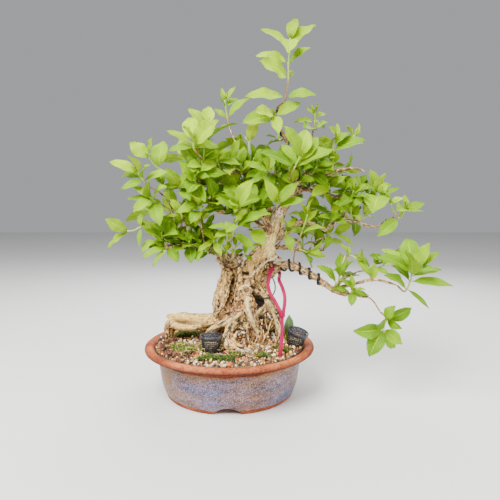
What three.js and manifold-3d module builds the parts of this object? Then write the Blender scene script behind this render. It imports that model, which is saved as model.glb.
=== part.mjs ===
// A hydrangea grown as a bonsai, in a round pot on three feet, with its wires, tie and fertiliser baskets.
// Millimetres, +Z up. The plant is drawn round the pot's axis with the pot's feet on z = 0, and the whole
// is shifted at the end so that the middle of its box stands on the origin.
import * as THREE from "three";
import { mergeVertices } from "three/addons/utils/BufferGeometryUtils.js";
import Module from "manifold-3d";

const wasm = await Module();
wasm.setup();

// Pot
const potHeight = 61;
const rimRadius = 105;
const rimInnerRadius = 93.4;
const collarRadius = 92;
const bellyRadius = 86;
const footRadius = 79;
const footInnerRadius = 70.5;
const floorUnder = 6;
const floorTop = 12;
const drainRadius = 9;
const potSides = 28;
const archWidth = 31;
const archHeight = 6.8;
const archCount = 3;

// Soil
const seat = 0.4; // air between the soil and what stands in it or holds it
const soilEdge = 58.6;
const moundHeight = 10;
const moundSpread = 52;
const moundX = 18;

// Drainage mesh over the hole in the floor
const netRadius = 16;
const netThickness = 1.2;
const netPitch = 8;
const netGap = 6;
const netSides = 16;

// Training wire and the guy wire
const wireSides = 3;
const wireStepsPerTurn = 6;
const wireAir = 0.3;

// Cable tie
const tieWidth = 4.2;
const tieThickness = 1.5;

// Fertiliser baskets
const basketTopRadius = 11.8;
const basketFootRadius = 9.8;
const basketHeight = 17.5;
const basketWall = 1.2;
const basketSides = 12;
const lidRadius = 13.1;
const lidHeight = 2.6;
const windowWidth = 2.6;
const windowHeight = 10;

// Leaves and green shoots
const bladeThickness = 0.8;
const petioleHalf = 0.4;
const shootRadius = 1.5;
const shootTipRadius = 1.2;
const jointHalf = 0.8; // half the height of the joint that a pair leaves from
const longSpan = 22;
const lightTurn = 0.85; // share of the way that a blade turns on its petiole to face the light
const mostTurn = 1.1; // radians
const frontLean = -0.8; // the light comes down and from the front, and at the back from behind
const backLean = 0.6;
const crownMiddle = 25;
const forkHeight = 4; // a second shoot leaves the first this far above its foot
const shootGap = 1.1; // air between a brown twig's end and the green shoot that goes on from it
const longLeaf = 38; // leaves from this length on have the full toothed outline
const seed = 20117;

const colours = {
  terracotta: ["#a8583a", 0.85],
  soil: ["#8a7a5c", 1],
  bark: ["#b3986a", 0.9],
  wire: ["#17171a", 0.45],
  plastic: ["#1b1b1d", 0.55],
  tie: ["#e0226e", 0.4],
  cake: ["#9b8f74", 1],
  leaf: ["#7fb81e", 0.5],
};

// Solids and geometries

function solidFrom(points, faces) {
  return new wasm.Manifold(new wasm.Mesh({
    numProp: 3,
    vertProperties: new Float32Array(points.flat()),
    triVerts: new Uint32Array(faces.flat()),
  }));
}

// A closed three.js geometry as a solid with its faces out.
function solidOf(geometry) {
  const bare = geometry.clone();
  bare.deleteAttribute("normal");
  bare.deleteAttribute("uv");
  const merged = mergeVertices(bare, 1e-4);
  const corners = merged.getAttribute("position");
  const points = [];
  for (let i = 0; i < corners.count; i++) points.push([corners.getX(i), corners.getY(i), corners.getZ(i)]);
  const faces = [];
  for (let i = 0; i < merged.index.count; i += 3) {
    const face = [0, 1, 2].map((k) => merged.index.getX(i + k));
    if (new Set(face).size === 3) faces.push(face);
  }
  const solid = solidFrom(points, faces);
  return solid.volume() > 0 ? solid : solidFrom(points, faces.map(([a, b, c]) => [a, c, b]));
}

function geometryOf(solid) {
  const mesh = solid.getMesh();
  const geometry = new THREE.BufferGeometry();
  geometry.setAttribute("position", new THREE.BufferAttribute(mesh.vertProperties.slice(), 3));
  geometry.setIndex(new THREE.BufferAttribute(mesh.triVerts.slice(), 1));
  return geometry;
}

const join = (solids) => solids.reduce((whole, one) => whole.add(one));
const degrees = THREE.MathUtils.degToRad;
const vector = (p) => new THREE.Vector3(p[0], p[1], p[2]);

// Repeatable draws from 0 to 1
let state = seed;
function draw() {
  state = (state * 16807) % 2147483647;
  return state / 2147483647;
}

// Everything already in place, so that a leaf or a wire can be tried against it
const placed = [];
const nodes = new Map();

function place(node, colour, solids) {
  for (const solid of solids) placed.push({ node, solid, box: solid.boundingBox() });
  nodes.set(node, { colour, solid: join(solids) });
}

function boxesMeet(a, b) {
  return [0, 1, 2].every((k) => a.min[k] < b.max[k] && b.min[k] < a.max[k]);
}

function isClear(solid, skip) {
  const box = solid.boundingBox();
  return !placed.some((other) => !skip(other) && boxesMeet(box, other.box)
    && solid.intersect(other.solid).volume() > 1e-6);
}

// A turned body: the profile [radius, height] closes on itself or starts and ends on the axis.
function turned(profile, sides) {
  const lathe = new THREE.LatheGeometry(profile.map(([r, z]) => new THREE.Vector2(r, z)), sides);
  return lathe.rotateX(Math.PI / 2);
}

// A smooth line through rows of [x, y, z, radius], with its radius at each place along it.
function lineOf(rows) {
  const curve = new THREE.CatmullRomCurve3(rows.map(vector), false, "centripetal");
  const radiusAt = (u) => {
    const t = curve.getUtoTmapping(u) * (rows.length - 1);
    const k = Math.min(Math.floor(t), rows.length - 2);
    return THREE.MathUtils.lerp(rows[k][3], rows[k + 1][3], t - k);
  };
  return { curve, radiusAt };
}

// The stations of a limb: where its sections stand, their frames and their radii.
function stationsOf(rows, spans) {
  const { curve, radiusAt } = lineOf(rows);
  const places = Array.from({ length: spans + 1 }, (_, i) => i / spans);
  const frames = curve.computeFrenetFrames(spans, false);
  return { points: places.map((u) => curve.getPointAt(u)), frames, radii: places.map(radiusAt) };
}

// A closed loft round points, with a frame and a radius at each. Lobes make the sections uneven.
function loft(points, frames, radii, sides, lobes = 0) {
  const rings = [];
  points.forEach((point, i) => {
    for (let j = 0; j < sides; j++) {
      const angle = (j / sides) * 2 * Math.PI;
      const uneven = 1 + lobes * (Math.sin(2 * angle + i) + Math.sin(3 * angle - 0.8 * i) - 0.5);
      const corner = point.clone()
        .addScaledVector(frames.normals[i], radii[i] * uneven * Math.cos(angle))
        .addScaledVector(frames.binormals[i], radii[i] * uneven * Math.sin(angle));
      rings.push(corner.toArray());
    }
  });
  const last = points.length - 1;
  const start = rings.length;
  const end = start + 1;
  rings.push(points[0].clone().addScaledVector(frames.tangents[0], -0.3 * radii[0]).toArray());
  rings.push(points[last].clone().addScaledVector(frames.tangents[last], 0.3 * radii[last]).toArray());
  const faces = [];
  for (let j = 0; j < sides; j++) {
    const next = (j + 1) % sides;
    for (let i = 0; i < last; i++) {
      const [a, b, c, d] = [i * sides + j, i * sides + next, (i + 1) * sides + next, (i + 1) * sides + j];
      faces.push([a, b, c], [a, c, d]);
    }
    faces.push([start, next, j], [end, last * sides + j, last * sides + next]);
  }
  return solidFrom(rings, faces);
}

function limb(rows, sides, spans, lobes = 0, grow = 0) {
  const { points, frames, radii } = stationsOf(rows, spans);
  return loft(points, frames, radii.map((radius) => radius + grow), sides, lobes);
}

// Pot

function potSolid() {
  const body = solidOf(turned([
    [drainRadius, floorUnder], [footInnerRadius - 1, floorUnder], [footInnerRadius, 0], [footRadius, 0],
    [footRadius + 3, 8.5], [bellyRadius, 26], [bellyRadius + 2.6, 44], [collarRadius, 51],
    [rimRadius - 1.6, 54], [rimRadius, 57.6], [rimRadius - 6, potHeight],
    [rimInnerRadius, 59], [82, 45], [76, 14], [drainRadius, floorTop], [drainRadius, floorUnder],
  ], potSides));
  const arch = new THREE.Shape();
  arch.moveTo(archWidth / 2, -2);
  arch.lineTo(archWidth / 2, 0);
  arch.bezierCurveTo(0.36 * archWidth, archHeight, 0.3 * archWidth, archHeight, 0, archHeight);
  arch.bezierCurveTo(-0.3 * archWidth, archHeight, -0.36 * archWidth, archHeight, -archWidth / 2, 0);
  arch.lineTo(-archWidth / 2, -2);
  const cutter = new THREE.ExtrudeGeometry(arch, { depth: 40, bevelEnabled: false, curveSegments: 4 });
  cutter.rotateX(Math.PI / 2);
  cutter.translate(0, -55, 0);
  let pot = body;
  for (let i = 0; i < archCount; i++) {
    pot = pot.subtract(solidOf(cutter.clone().rotateZ((i / archCount) * 2 * Math.PI)));
  }
  return pot;
}

// Soil: a filled body whose top is raised by a formula.

function soilTop(x, y) {
  const away = Math.hypot(x - moundX, y);
  const mound = moundHeight * Math.exp(-((away / moundSpread) ** 2));
  const edge = Math.min(1, (rimInnerRadius - Math.hypot(x, y)) / 20);
  return soilEdge + mound + 1.3 * edge * Math.sin(x / 6.5 + 1) * Math.cos(y / 8 - 0.5);
}

function soilSolid(holes) {
  const rings = [91.8, 72, 44];
  const geometry = turned([
    [0, floorTop + 0.3], [75.4, 14.4], [81.4, 45.2], [rimInnerRadius - 0.9, soilEdge],
    ...rings.slice(1).map((r) => [r, potHeight + r / 1000]), [0, potHeight],
  ], potSides);
  const corners = geometry.getAttribute("position");
  for (let i = 0; i < corners.count; i++) {
    if (corners.getZ(i) > soilEdge + 0.5) corners.setZ(i, soilTop(corners.getX(i), corners.getY(i)));
  }
  const net = solidOf(new THREE.CylinderGeometry(netRadius + 0.3, netRadius + 0.3, 4, netSides)
    .rotateX(Math.PI / 2).translate(0, 0, floorTop + netThickness - 1.4));
  return holes.reduce((soil, hole) => soil.subtract(hole), solidOf(geometry).subtract(net));
}

function netSolid() {
  let net = solidOf(new THREE.CylinderGeometry(netRadius, netRadius, netThickness, netSides)
    .rotateX(Math.PI / 2).translate(0, 0, floorTop + 0.3 + netThickness / 2));
  for (let i = -1; i <= 1; i += 2) {
    for (let j = -1; j <= 1; j += 2) {
      net = net.subtract(solidOf(new THREE.BoxGeometry(netGap, netGap, 6)
        .translate((i * netPitch) / 2, (j * netPitch) / 2, floorTop)));
    }
  }
  return net;
}

// Wood: rows of [x, y, z, radius] from the root end outwards.

const limbs = {
  trunk: { sides: 10, spans: 9, lobes: 0.09,
    rows: [[20, -5, 50, 23], [21, -6, 78, 22], [22, -6, 100, 20.5], [23, -4, 127, 18],
      [28, -2, 149, 15.5], [35, 0, 164, 12.5], [44, 0, 179, 9.5], [52, 0, 196, 8], [57, 0, 211, 8.4],
      [61, 0, 227, 8]] },
  stump: { sides: 8, spans: 5, lobes: 0.1,
    rows: [[-5, -2, 50, 18], [-4, -3, 87, 18], [-4, -4, 115, 16.5], [-1, -2, 137, 13.5],
      [2, 0, 152, 10], [4, 0, 161, 5]] },
  leftRoot: { sides: 7, spans: 7, lobes: 0.1,
    rows: [[4, -4, 94, 13], [-26, 0, 87, 11], [-50, 4, 85, 10.4], [-66, 7, 84.5, 9.4],
      [-76, 9, 77, 7.4], [-78, 10, 67, 5.8], [-78, 10, 53, 4.4]] },
  frontRoot: { sides: 6, spans: 5, lobes: 0.08,
    rows: [[22, -14, 108, 7], [4, -20, 96, 5.4], [-13, -20, 86, 4.8], [-24, -20, 77, 4.2],
      [-32, -19, 55, 3]] },
  midRoot: { sides: 6, spans: 5, lobes: 0.08,
    rows: [[22, -16, 130, 7], [24, -24, 113, 5.8], [28, -25, 97, 5], [34, -24, 80, 4],
      [38, -23, 54, 2.6]] },
  rightLeg: { sides: 7, spans: 5, lobes: 0.08,
    rows: [[36, -5, 134, 9], [46, -8, 115, 7.6], [54, -10, 101, 6.8], [61, -10, 84, 6],
      [66, -10, 52, 4.5]] },
  innerRoot: { sides: 5, spans: 3, lobes: 0,
    rows: [[50, -9, 112, 4], [41, -17, 102, 3.4], [32, -21, 92, 3.4]] },
  curlRoot: { sides: 6, spans: 6, lobes: 0.1,
    rows: [[6, -24, 92, 5], [0.5, -31, 85, 5], [-0.6, -38, 77.5, 4.8], [3, -44, 70.5, 4.8],
      [11, -47, 67.5, 4.6], [22, -48, 64, 4], [30, -49, 55, 3]] },
  thinRoot1: { sides: 4, spans: 3, lobes: 0,
    rows: [[44, -12, 108, 2.4], [45, -19, 88, 2], [48, -22, 54, 1.5]] },
  thinRoot2: { sides: 4, spans: 3, lobes: 0,
    rows: [[30, -22, 102, 2.2], [44, -25, 82, 2.2], [56, -27, 54, 1.8]] },
  thinRoot3: { sides: 4, spans: 3, lobes: 0,
    rows: [[24, -24, 88, 2.2], [21, -33, 76, 1.9], [20, -38, 54, 1.5]] },
  thinRoot4: { sides: 4, spans: 3, lobes: 0,
    rows: [[35, -22, 84, 2], [29, -31, 74, 1.7], [27, -38, 54, 1.4]] },
  backRoot1: { sides: 6, spans: 4, lobes: 0.08,
    rows: [[10, 8, 100, 8], [2, 24, 86, 6.4], [-10, 38, 74, 5], [-18, 46, 50, 3.5]] },
  backRoot2: { sides: 6, spans: 4, lobes: 0.08,
    rows: [[32, 8, 104, 8], [42, 24, 88, 6], [52, 36, 74, 4.6], [58, 42, 50, 3.2]] },
  backRoot3: { sides: 6, spans: 3, lobes: 0.08,
    rows: [[-10, 6, 88, 8], [-30, 20, 76, 5.4], [-44, 30, 50, 3.4]] },
  knob: { sides: 5, spans: 2, lobes: 0.1,
    rows: [[14, -8, 146, 7], [14, -14, 152, 5.4], [14, -17, 157, 3.4]] },
  leader: { sides: 4, spans: 11, lobes: 0,
    rows: [[61, 0, 221, 5.6], [69, 0, 237, 4], [78, -3, 251, 3.2], [83, -4, 268, 2.7],
      [80, -2, 283, 2.4], [74, 0, 298, 2.2], [66, 2, 316, 2.1], [58, 0, 329, 2], [55, -2, 338, 1.9],
      [60, -4, 348, 1.8], [67, -2, 354.6, 1.6]] },
  right1: { sides: 4, spans: 6, lobes: 0,
    rows: [[68, 0, 235, 4.4], [80, 2, 252, 4], [92, 6, 267, 3.6], [111, 10, 267, 3],
      [126, 12, 271, 2.6], [143, 10, 276, 2], [157, 8, 276, 1.5], [166, 6, 273, 0.9]] },
  right2: { sides: 4, spans: 6, lobes: 0,
    rows: [[64, 3, 226, 4.6], [78, 10, 243, 4], [90, 14, 251, 3.6], [108, 16, 248, 3],
      [123, 18, 244, 2.5], [139, 18, 241, 2], [156, 16, 238, 1.8], [179, 12, 232, 1.4]] },
  right3: { sides: 4, spans: 7, lobes: 0,
    rows: [[56, 4, 196, 4.6], [76, 12, 203, 3.8], [88, 16, 210, 3.2], [104, 18, 208, 2.8],
      [122, 18, 201, 2.6], [136, 14, 212, 2.2], [155, 8, 212, 1.9], [171, 2, 206, 1.7],
      [183, 0, 206, 1.6], [193, -4, 214, 1.4]] },
  right4: { sides: 5, spans: 8, lobes: 0,
    rows: [[38, 2, 136, 8], [48, 6, 146, 7.4], [58, 4, 153, 6.2], [70, 0, 158, 5.4],
      [84, -6, 155, 4.8], [97, -10, 149, 4.4], [109, -14, 142, 4], [117, -18, 136, 3.7],
      [128, -20, 129, 3.4], [140, -20, 125, 2.8], [153, -20, 124, 2.2], [162, -22, 122, 1.8]] },
  right4b: { sides: 4, spans: 4, lobes: 0,
    rows: [[126, -19, 130, 2.8], [139, -22, 135, 2.4], [149, -28, 139, 2.1], [170, -34, 145, 1.8],
      [188, -40, 142, 1.5]] },
  right4c: { sides: 4, spans: 3, lobes: 0,
    rows: [[128, -16, 131, 2.8], [138, -11, 142, 2.4], [149, -7, 146, 2]] },
  right5: { sides: 4, spans: 4, lobes: 0,
    rows: [[48, 4, 178, 4], [64, 12, 179, 3.2], [90, 24, 174, 2.6], [106, 30, 171, 2],
      [122, 34, 173, 1.4]] },
  left1: { sides: 4, spans: 6, lobes: 0,
    rows: [[6, 0, 148, 5.4], [-7, 2, 166, 4.8], [-18, 2, 177, 4.2], [-33, 0, 178, 3.8],
      [-47, -4, 182, 3.4], [-60, -8, 185, 3], [-74, -10, 182, 2.7], [-80, -14, 191, 2]] },
  left2: { sides: 4, spans: 6, lobes: 0,
    rows: [[50, -3, 198, 4.6], [40, -10, 219, 4], [25, -14, 223, 3.6], [6, -18, 228, 3.4],
      [-10, -20, 224, 3], [-20, -20, 231, 2.6], [-28, -20, 242, 2.3], [-37, -18, 254, 2]] },
  left2b: { sides: 4, spans: 2, lobes: 0,
    rows: [[-36, -18, 252, 2], [-32, -22, 270, 1.8], [-27, -26, 284, 1.6]] },
  left3: { sides: 4, spans: 5, lobes: 0,
    rows: [[57, 3, 208, 4.4], [45, 12, 230, 3.6], [28, 20, 243, 3], [8, 26, 253, 2.4],
      [-13, 30, 261, 1.9], [-31, 32, 266, 1.5]] },
  left4: { sides: 4, spans: 4, lobes: 0,
    rows: [[0, 3, 152, 4.4], [-13, 16, 175, 3.6], [-31, 24, 187, 2.8], [-52, 30, 194, 2.2],
      [-76, 34, 204, 1.6]] },
  crownSide: { sides: 4, spans: 3, lobes: 0,
    rows: [[80, -3, 262, 2.4], [62, 2, 267, 2], [35, 2, 268, 1.8], [13, 0, 270, 1.7],
      [-8, -10, 271, 1.5]] },
  back1: { sides: 4, spans: 3, lobes: 0,
    rows: [[57, 4, 204, 4.2], [48, 24, 231, 3], [36, 40, 257, 2.2], [25, 52, 277, 1.6]] },
  back2: { sides: 4, spans: 3, lobes: 0,
    rows: [[60, 4, 208, 4], [74, 28, 231, 3], [91, 44, 248, 2.2], [108, 56, 259, 1.6]] },
  back3: { sides: 4, spans: 3, lobes: 0,
    rows: [[53, 4, 190, 4], [41, 30, 204, 2.8], [23, 48, 214, 2.1], [1, 62, 219, 1.6]] },
  back4: { sides: 4, spans: 3, lobes: 0,
    rows: [[56, 4, 190, 4], [74, 30, 197, 2.8], [97, 48, 198, 2.1], [117, 60, 200, 1.6]] },
};
const inSoil = ["trunk", "stump", "leftRoot", "frontRoot", "midRoot", "rightLeg", "curlRoot", "thinRoot1",
  "thinRoot2", "thinRoot3", "thinRoot4", "backRoot1", "backRoot2", "backRoot3"];
const twigRadius = 1.5;
const twigTipRadius = 1.2;
const limbCore = 0.6; // of a limb's radius, well inside its flat sides

// Leafy shoots. A twig is the brown wood that carries them. Each shoot has the path of its green stem
// and its pairs of leaves: the place along the stem from 0 to 1, then the tip of each leaf as
// [x, y, z, width / length].

const sprays = [
  { name: "apex", twig: null, shoots: [
    { path: [[67, -2, 355], [69, -1, 368], [71, 0, 382], [71, 0, 399], [73, 0, 419],
      [73, 0, 428]], pairs: [
      [0.05, [20, -18, 357, .45], [103, -10, 360, .45]],
      [0.37, [36, -24, 395, .66], [75, 14, 395, .5]],
      [0.6, [31, 14, 411, .45], [96, -14, 413, .45]],
      [0.86, [37, -6, 436, .45], [104, 8, 445, .45]],
      [0.97, [81, 10, 454, .5], [69, -27, 403, .6]],
    ] },
  ] },
  { name: "leader_mid", twig: [[57, -3, 334], [56, -9, 334]], shoots: [
    { path: [[56, -9, 334], [54, -18, 337]], pairs: [
      [0.35, [16, -26, 325, .5], [86, 2, 354, .4]],
      [0.95, [30, -36, 337, .6], [58, -36, 312, .45]],
    ] },
  ] },
  { name: "leader_low", twig: [[65, 2, 311], [64, 10, 310]], shoots: [
    { path: [[64, 10, 310], [62, 20, 313]], pairs: [
      [0.4, [44, 12, 303, .7], [83, 26, 324, .4]],
      [0.95, [46, 36, 319, .4], [68, 38, 334, .5]],
    ] },
  ] },
  { name: "crown_left", twig: [[13, 0, 270], [14, 8, 289], [7, 6, 309], [0, 3, 326]], shoots: [
    { path: [[0, 3, 326], [-3, 2, 343], [-5, 2, 357]], pairs: [
      [0.3, [-18, 8, 348, .35], [25, -8, 357, .42]],
      [0.75, [-11, -12, 357, .4], [11, 14, 361, .5]],
      [0.97, [9, 0, 373, .35], [-9, 4, 372, .35]],
    ] },
  ] },
  { name: "front_crown", twig: [[-27, -26, 284], [-34, -34, 290]], shoots: [
    { path: [[-34, -34, 290], [-38, -42, 296], [-37, -47, 303]], pairs: [
      [0.55, [-67, -44, 292, .36], [-10, -26, 298, .45]],
      [0.75, [-9, -54, 325, .6], [-69, -40, 315, .28]],
      [0.97, [-42, -34, 335, .6], [-46, -72, 315, .5]],
    ] },
    { path: [[-34, -34, 290], [-27, -20, 305], [-25, -16, 318], [-25, -18, 326]], pairs: [
      [0.5, [12, -24, 326, .42], [-61, -6, 314, .42]],
      [0.97, [-48, -8, 345, .4], [-24, 0, 345, .6]],
    ] },
  ] },
  { name: "left_top", twig: [[-37, -18, 254], [-48, -14, 260], [-59, -12, 262]], shoots: [
    { path: [[-59, -12, 262], [-73, -10, 270], [-86, -12, 277], [-94, -16, 288]], pairs: [
      [0.62, [-79, 2, 309, .66], [-75, -30, 254, .5]],
      [0.97, [-117, -12, 305, .6], [-84, -38, 309, .4]],
    ] },
  ] },
  { name: "left_tip", twig: [[-67, -14, 220], [-71, -14, 234], [-81, -18, 246],
    [-94, -20, 253]], shoots: [
    { path: [[-94, -20, 253], [-99, -22, 260], [-105, -26, 270]], pairs: [
      [0.4, [-124, -30, 250, .4], [-64, -38, 262, .4]],
      [0.55, [-130, -6, 266, .4], [-87, -44, 277, .45]],
      [0.97, [-139, -24, 282, .4], [-113, -44, 288, .62]],
    ] },
  ] },
  { name: "left_mid", twig: [[-64, -12, 193], [-67, -14, 220], [-78, -18, 232]], shoots: [
    { path: [[-78, -18, 232], [-86, -22, 235], [-91, -26, 241]], pairs: [
      [0.6, [-108, -40, 223, .62], [-77, -44, 208, .5]],
      [0.7, [-120, -20, 239, .35], [-68, -44, 253, .55]],
      [0.97, [-114, -20, 254, .4], [-86, -50, 260, .6]],
    ] },
  ] },
  { name: "left_far", twig: [[-80, -14, 191], [-96, -16, 197]], shoots: [
    { path: [[-96, -16, 197], [-103, -18, 206], [-112, -20, 202], [-120, -22, 201]], pairs: [
      [0.4, [-105, -26, 183, .3], [-107, -6, 222, .35]],
      [0.97, [-144, -26, 216, .52], [-146, -14, 180, .36]],
    ] },
  ] },
  { name: "left_low", twig: [[-70, -12, 182], [-72, -18, 182]], shoots: [
    { path: [[-72, -18, 182], [-75, -26, 181]], pairs: [
      [0.4, [-59, -30, 165, .62], [-101, -6, 189, .45]],
      [0.95, [-101, -34, 169, .36], [-88, -38, 159, .22]],
    ] },
  ] },
  { name: "left_heart", twig: [[-31, -1, 179], [-31, -14, 195], [-33, -28, 212]], shoots: [
    { path: [[-33, -28, 212], [-33, -34, 226], [-34, -38, 234]], pairs: [
      [0.6, [-49, -50, 232, .45], [-41, -52, 211, .6]],
      [0.8, [-60, -40, 228, .6], [-20, -18, 241, .45]],
      [0.97, [-39, -58, 243, .5], [-29, -34, 249, .4]],
    ] },
  ] },
  { name: "front_left", twig: [[6, -20, 224], [9, -30, 226]], shoots: [
    { path: [[9, -30, 226], [11, -40, 231]], pairs: [
      [0.3, [40, -14, 241, .5], [-13, -50, 239, .42]],
      [0.6, [-21, -26, 249, .4], [-4, -12, 257, .5]],
      [0.95, [30, -56, 261, .48], [4, -72, 233, .45]],
    ] },
  ] },
  { name: "front_right", twig: [[56, -8, 222], [57, -18, 228]], shoots: [
    { path: [[57, -18, 228], [57, -28, 234]], pairs: [
      [0.4, [90, -36, 238, .35], [31, -18, 231, .4]],
      [0.95, [41, -42, 261, .42], [82, -34, 258, .42]],
    ] },
  ] },
  { name: "front_low", twig: [[8, -10, 163], [3, -28, 188]], shoots: [
    { path: [[3, -28, 188], [6, -36, 201], [8, -44, 211]], pairs: [
      [0.45, [-16, -50, 195, .4], [31, -50, 180, .34]],
      [0.75, [-22, -46, 206, .4], [49, -50, 222, .42]],
      [0.97, [24, -38, 229, .42], [0, -74, 202, .5]],
    ] },
  ] },
  { name: "front_dark", twig: [[50, -4, 203], [40, -16, 206], [30, -26, 205]], shoots: [
    { path: [[30, -26, 205], [27, -33, 204]], pairs: [
      [0.9, [40, -42, 186, .85], [12, -16, 215, .5]],
    ] },
  ] },
  { name: "right_front", twig: [[77, -4, 257], [72, -14, 261], [71, -24, 264]], shoots: [
    { path: [[71, -24, 264], [77, -34, 276], [82, -40, 287]], pairs: [
      [0.5, [36, -46, 291, .42], [122, -42, 294, .42]],
      [0.75, [61, -28, 301, .45], [104, -24, 310, .55]],
      [0.97, [61, -60, 318, .45], [89, -34, 318, .62]],
    ] },
  ] },
  { name: "crown_right", twig: [[92, 6, 272], [95, 8, 296], [102, 8, 318]], shoots: [
    { path: [[102, 8, 318], [104, 8, 332], [104, 8, 343]], pairs: [
      [0.15, [88, -14, 322, .8], [118, -8, 329, .55]],
      [0.55, [78, 0, 330, .4], [117, 28, 327, .6]],
      [0.8, [91, -4, 347, .32], [119, 20, 344, .4]],
      [0.97, [100, 10, 353, .35], [108, 2, 353, .35]],
    ] },
  ] },
  { name: "right_top", twig: [[126, 11, 270], [128, 12, 284], [128, 12, 294]], shoots: [
    { path: [[128, 12, 294], [128, 10, 303], [131, 8, 312]], pairs: [
      [0.2, [90, -10, 282, .42], [162, -14, 308, .42]],
      [0.6, [104, 28, 311, .5], [145, -8, 317, .45]],
      [0.97, [118, -12, 323, .6], [133, 16, 332, .35]],
    ] },
    { path: [[128, 12, 294], [142, 22, 306], [150, 26, 312], [157, 26, 319]], pairs: [
      [0.35, [139, 44, 318, .42], [173, 44, 311, .4]],
      [0.95, [145, 20, 330, .4], [163, 28, 334, .35]],
    ] },
  ] },
  { name: "right_mid", twig: [[122, 18, 243], [123, 13, 249]], shoots: [
    { path: [[123, 13, 249], [123, 8, 256]], pairs: [
      [0.4, [101, 4, 263, .42], [144, -2, 267, .4]],
      [0.95, [99, -22, 249, .4], [122, 18, 274, .5]],
    ] },
  ] },
  { name: "right_upright", twig: [[143, 12, 215], [147, 10, 229]], shoots: [
    { path: [[147, 10, 229], [151, 7, 243], [153, 6, 250]], pairs: [
      [0.5, [131, -22, 230, .4], [167, -18, 240, .35]],
      [0.7, [130, 22, 242, .45], [169, 6, 257, .42]],
      [0.97, [145, 4, 260, .35], [157, 2, 263, .4]],
    ] },
  ] },
  { name: "right_crest", twig: [[180, 12, 230], [182, 12, 237]], shoots: [
    { path: [[182, 12, 237], [185, 8, 245]], pairs: [
      [0.35, [163, 2, 253, .45], [212, 10, 253, .25]],
      [0.95, [195, 12, 259, .6], [171, -20, 222, .85]],
    ] },
  ] },
  { name: "right_end", twig: [[194, -4, 214], [200, -5, 217]], shoots: [
    { path: [[200, -5, 217], [207, -8, 217], [212, -12, 227]], pairs: [
      [0.25, [178, -14, 194, .45], [200, -22, 233, .5]],
      [0.8, [237, -6, 234, .42], [229, -26, 224, .25]],
      [0.97, [208, -14, 244, .6], [191, -44, 225, .45]],
    ] },
    { path: [[200, -5, 217], [198, -3, 228], [197, -2, 234]], pairs: [
      [0.95, [181, -8, 247, .55], [215, 10, 241, .45]],
    ] },
  ] },
  { name: "right_low_big", twig: [[187, -40, 142], [195, -42, 140]], shoots: [
    { path: [[195, -42, 140], [203, -46, 133], [208, -50, 146], [209, -54, 161]], pairs: [
      [0.36, [228, -58, 115, .2], [173, -66, 155, .4]],
      [0.62, [252, -62, 142, .3], [193, -24, 161, .4]],
      [0.76, [249, -34, 156, .3], [190, -82, 183, .52]],
      [0.86, [164, -60, 174, .4], [225, -74, 166, .45]],
      [0.93, [176, -36, 186, .42], [239, -52, 179, .36]],
      [0.99, [200, -44, 197, .62], [225, -60, 191, .45]],
    ] },
  ] },
  { name: "right_low_top", twig: [[151, -4, 146], [157, -5, 150]], shoots: [
    { path: [[157, -5, 150], [169, 0, 151], [182, 3, 152], [193, 5, 157], [202, 2, 160],
      [207, 0, 164]], pairs: [
      [0.7, [169, -14, 171, .45], [208, 26, 171, .5]],
      [0.97, [230, 14, 175, .5], [206, -14, 180, .45]],
    ] },
    { path: [[169, 0, 151], [174, -4, 155], [179, -6, 160]], pairs: [
      [0.5, [152, -4, 171, .5], [196, -14, 146, .42]],
      [0.95, [188, -2, 173, .5], [170, -24, 140, .42]],
    ] },
  ] },
  { name: "right_low_hang", twig: [[130, -20, 131], [134, -18, 152], [140, -16, 171]], shoots: [
    { path: [[140, -16, 171], [148, -18, 171], [153, -22, 168]], pairs: [
      [0.2, [131, -24, 186, .4], [144, 2, 181, .4]],
      [0.95, [166, -30, 149, .5], [153, -42, 182, .45]],
    ] },
  ] },
  { name: "right_low_small", twig: [[138, -21, 127], [143, -26, 126]], shoots: [
    { path: [[143, -26, 126], [147, -33, 131]], pairs: [
      [0.4, [121, -24, 133, .42], [166, -20, 121, .36]],
      [0.95, [143, -42, 115, .6], [129, -46, 146, .5]],
      [0.97, [157, -52, 136, .3], [149, -16, 143, .4]],
    ] },
  ] },
  { name: "right_low_tip", twig: [[159, -22, 122], [167, -24, 122], [173, -26, 117],
    [180, -28, 106]], shoots: [
    { path: [[180, -28, 106], [187, -31, 98], [184, -34, 89], [182, -37, 84]], pairs: [
      [0.4, [218, -28, 110, .5], [168, -58, 96, .55]],
      [0.45, [194, -44, 116, .6], [201, -48, 90, .5]],
      [0.9, [145, -44, 86, .5], [205, -46, 75, .6]],
      [0.97, [164, -46, 56, .6], [200, -22, 59, .45]],
    ] },
  ] },
  { name: "inner_fork", twig: [[78, -6, 160], [81, -12, 181]], shoots: [
    { path: [[81, -12, 181], [88, -16, 202], [91, -19, 212], [93, -22, 221]], pairs: [
      [0.4, [76, -38, 208, .4], [113, -28, 205, .5]],
      [0.75, [84, -4, 223, .45], [106, -18, 226, .4]],
      [0.97, [85, -26, 234, .4], [98, -32, 239, .4]],
    ] },
    { path: [[81, -12, 181], [87, -14, 178], [94, -14, 175]], pairs: [
      [0.5, [83, -26, 187, .5], [99, -22, 157, .75]],
      [0.95, [110, -28, 190, .42], [117, -8, 169, .45]],
    ] },
  ] },
  { name: "inner_mid", twig: [[99, 24, 171], [108, 25, 184], [122, 22, 192]], shoots: [
    { path: [[122, 22, 192], [133, 18, 196]], pairs: [
      [0.4, [119, 6, 177, .42], [128, 28, 212, .5]],
      [0.95, [156, 12, 180, .36], [152, 8, 207, .5]],
    ] },
  ] },
  { name: "inner_top", twig: [[122, 18, 201], [126, 12, 209]], shoots: [
    { path: [[126, 12, 209], [131, 6, 217]], pairs: [
      [0.4, [108, -4, 217, .45], [143, -8, 209, .45]],
      [0.95, [132, 18, 235, .45], [155, 22, 219, .4]],
    ] },
  ] },
  { name: "inner_trunk", twig: [[58, 6, 180], [67, -6, 194]], shoots: [
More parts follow.
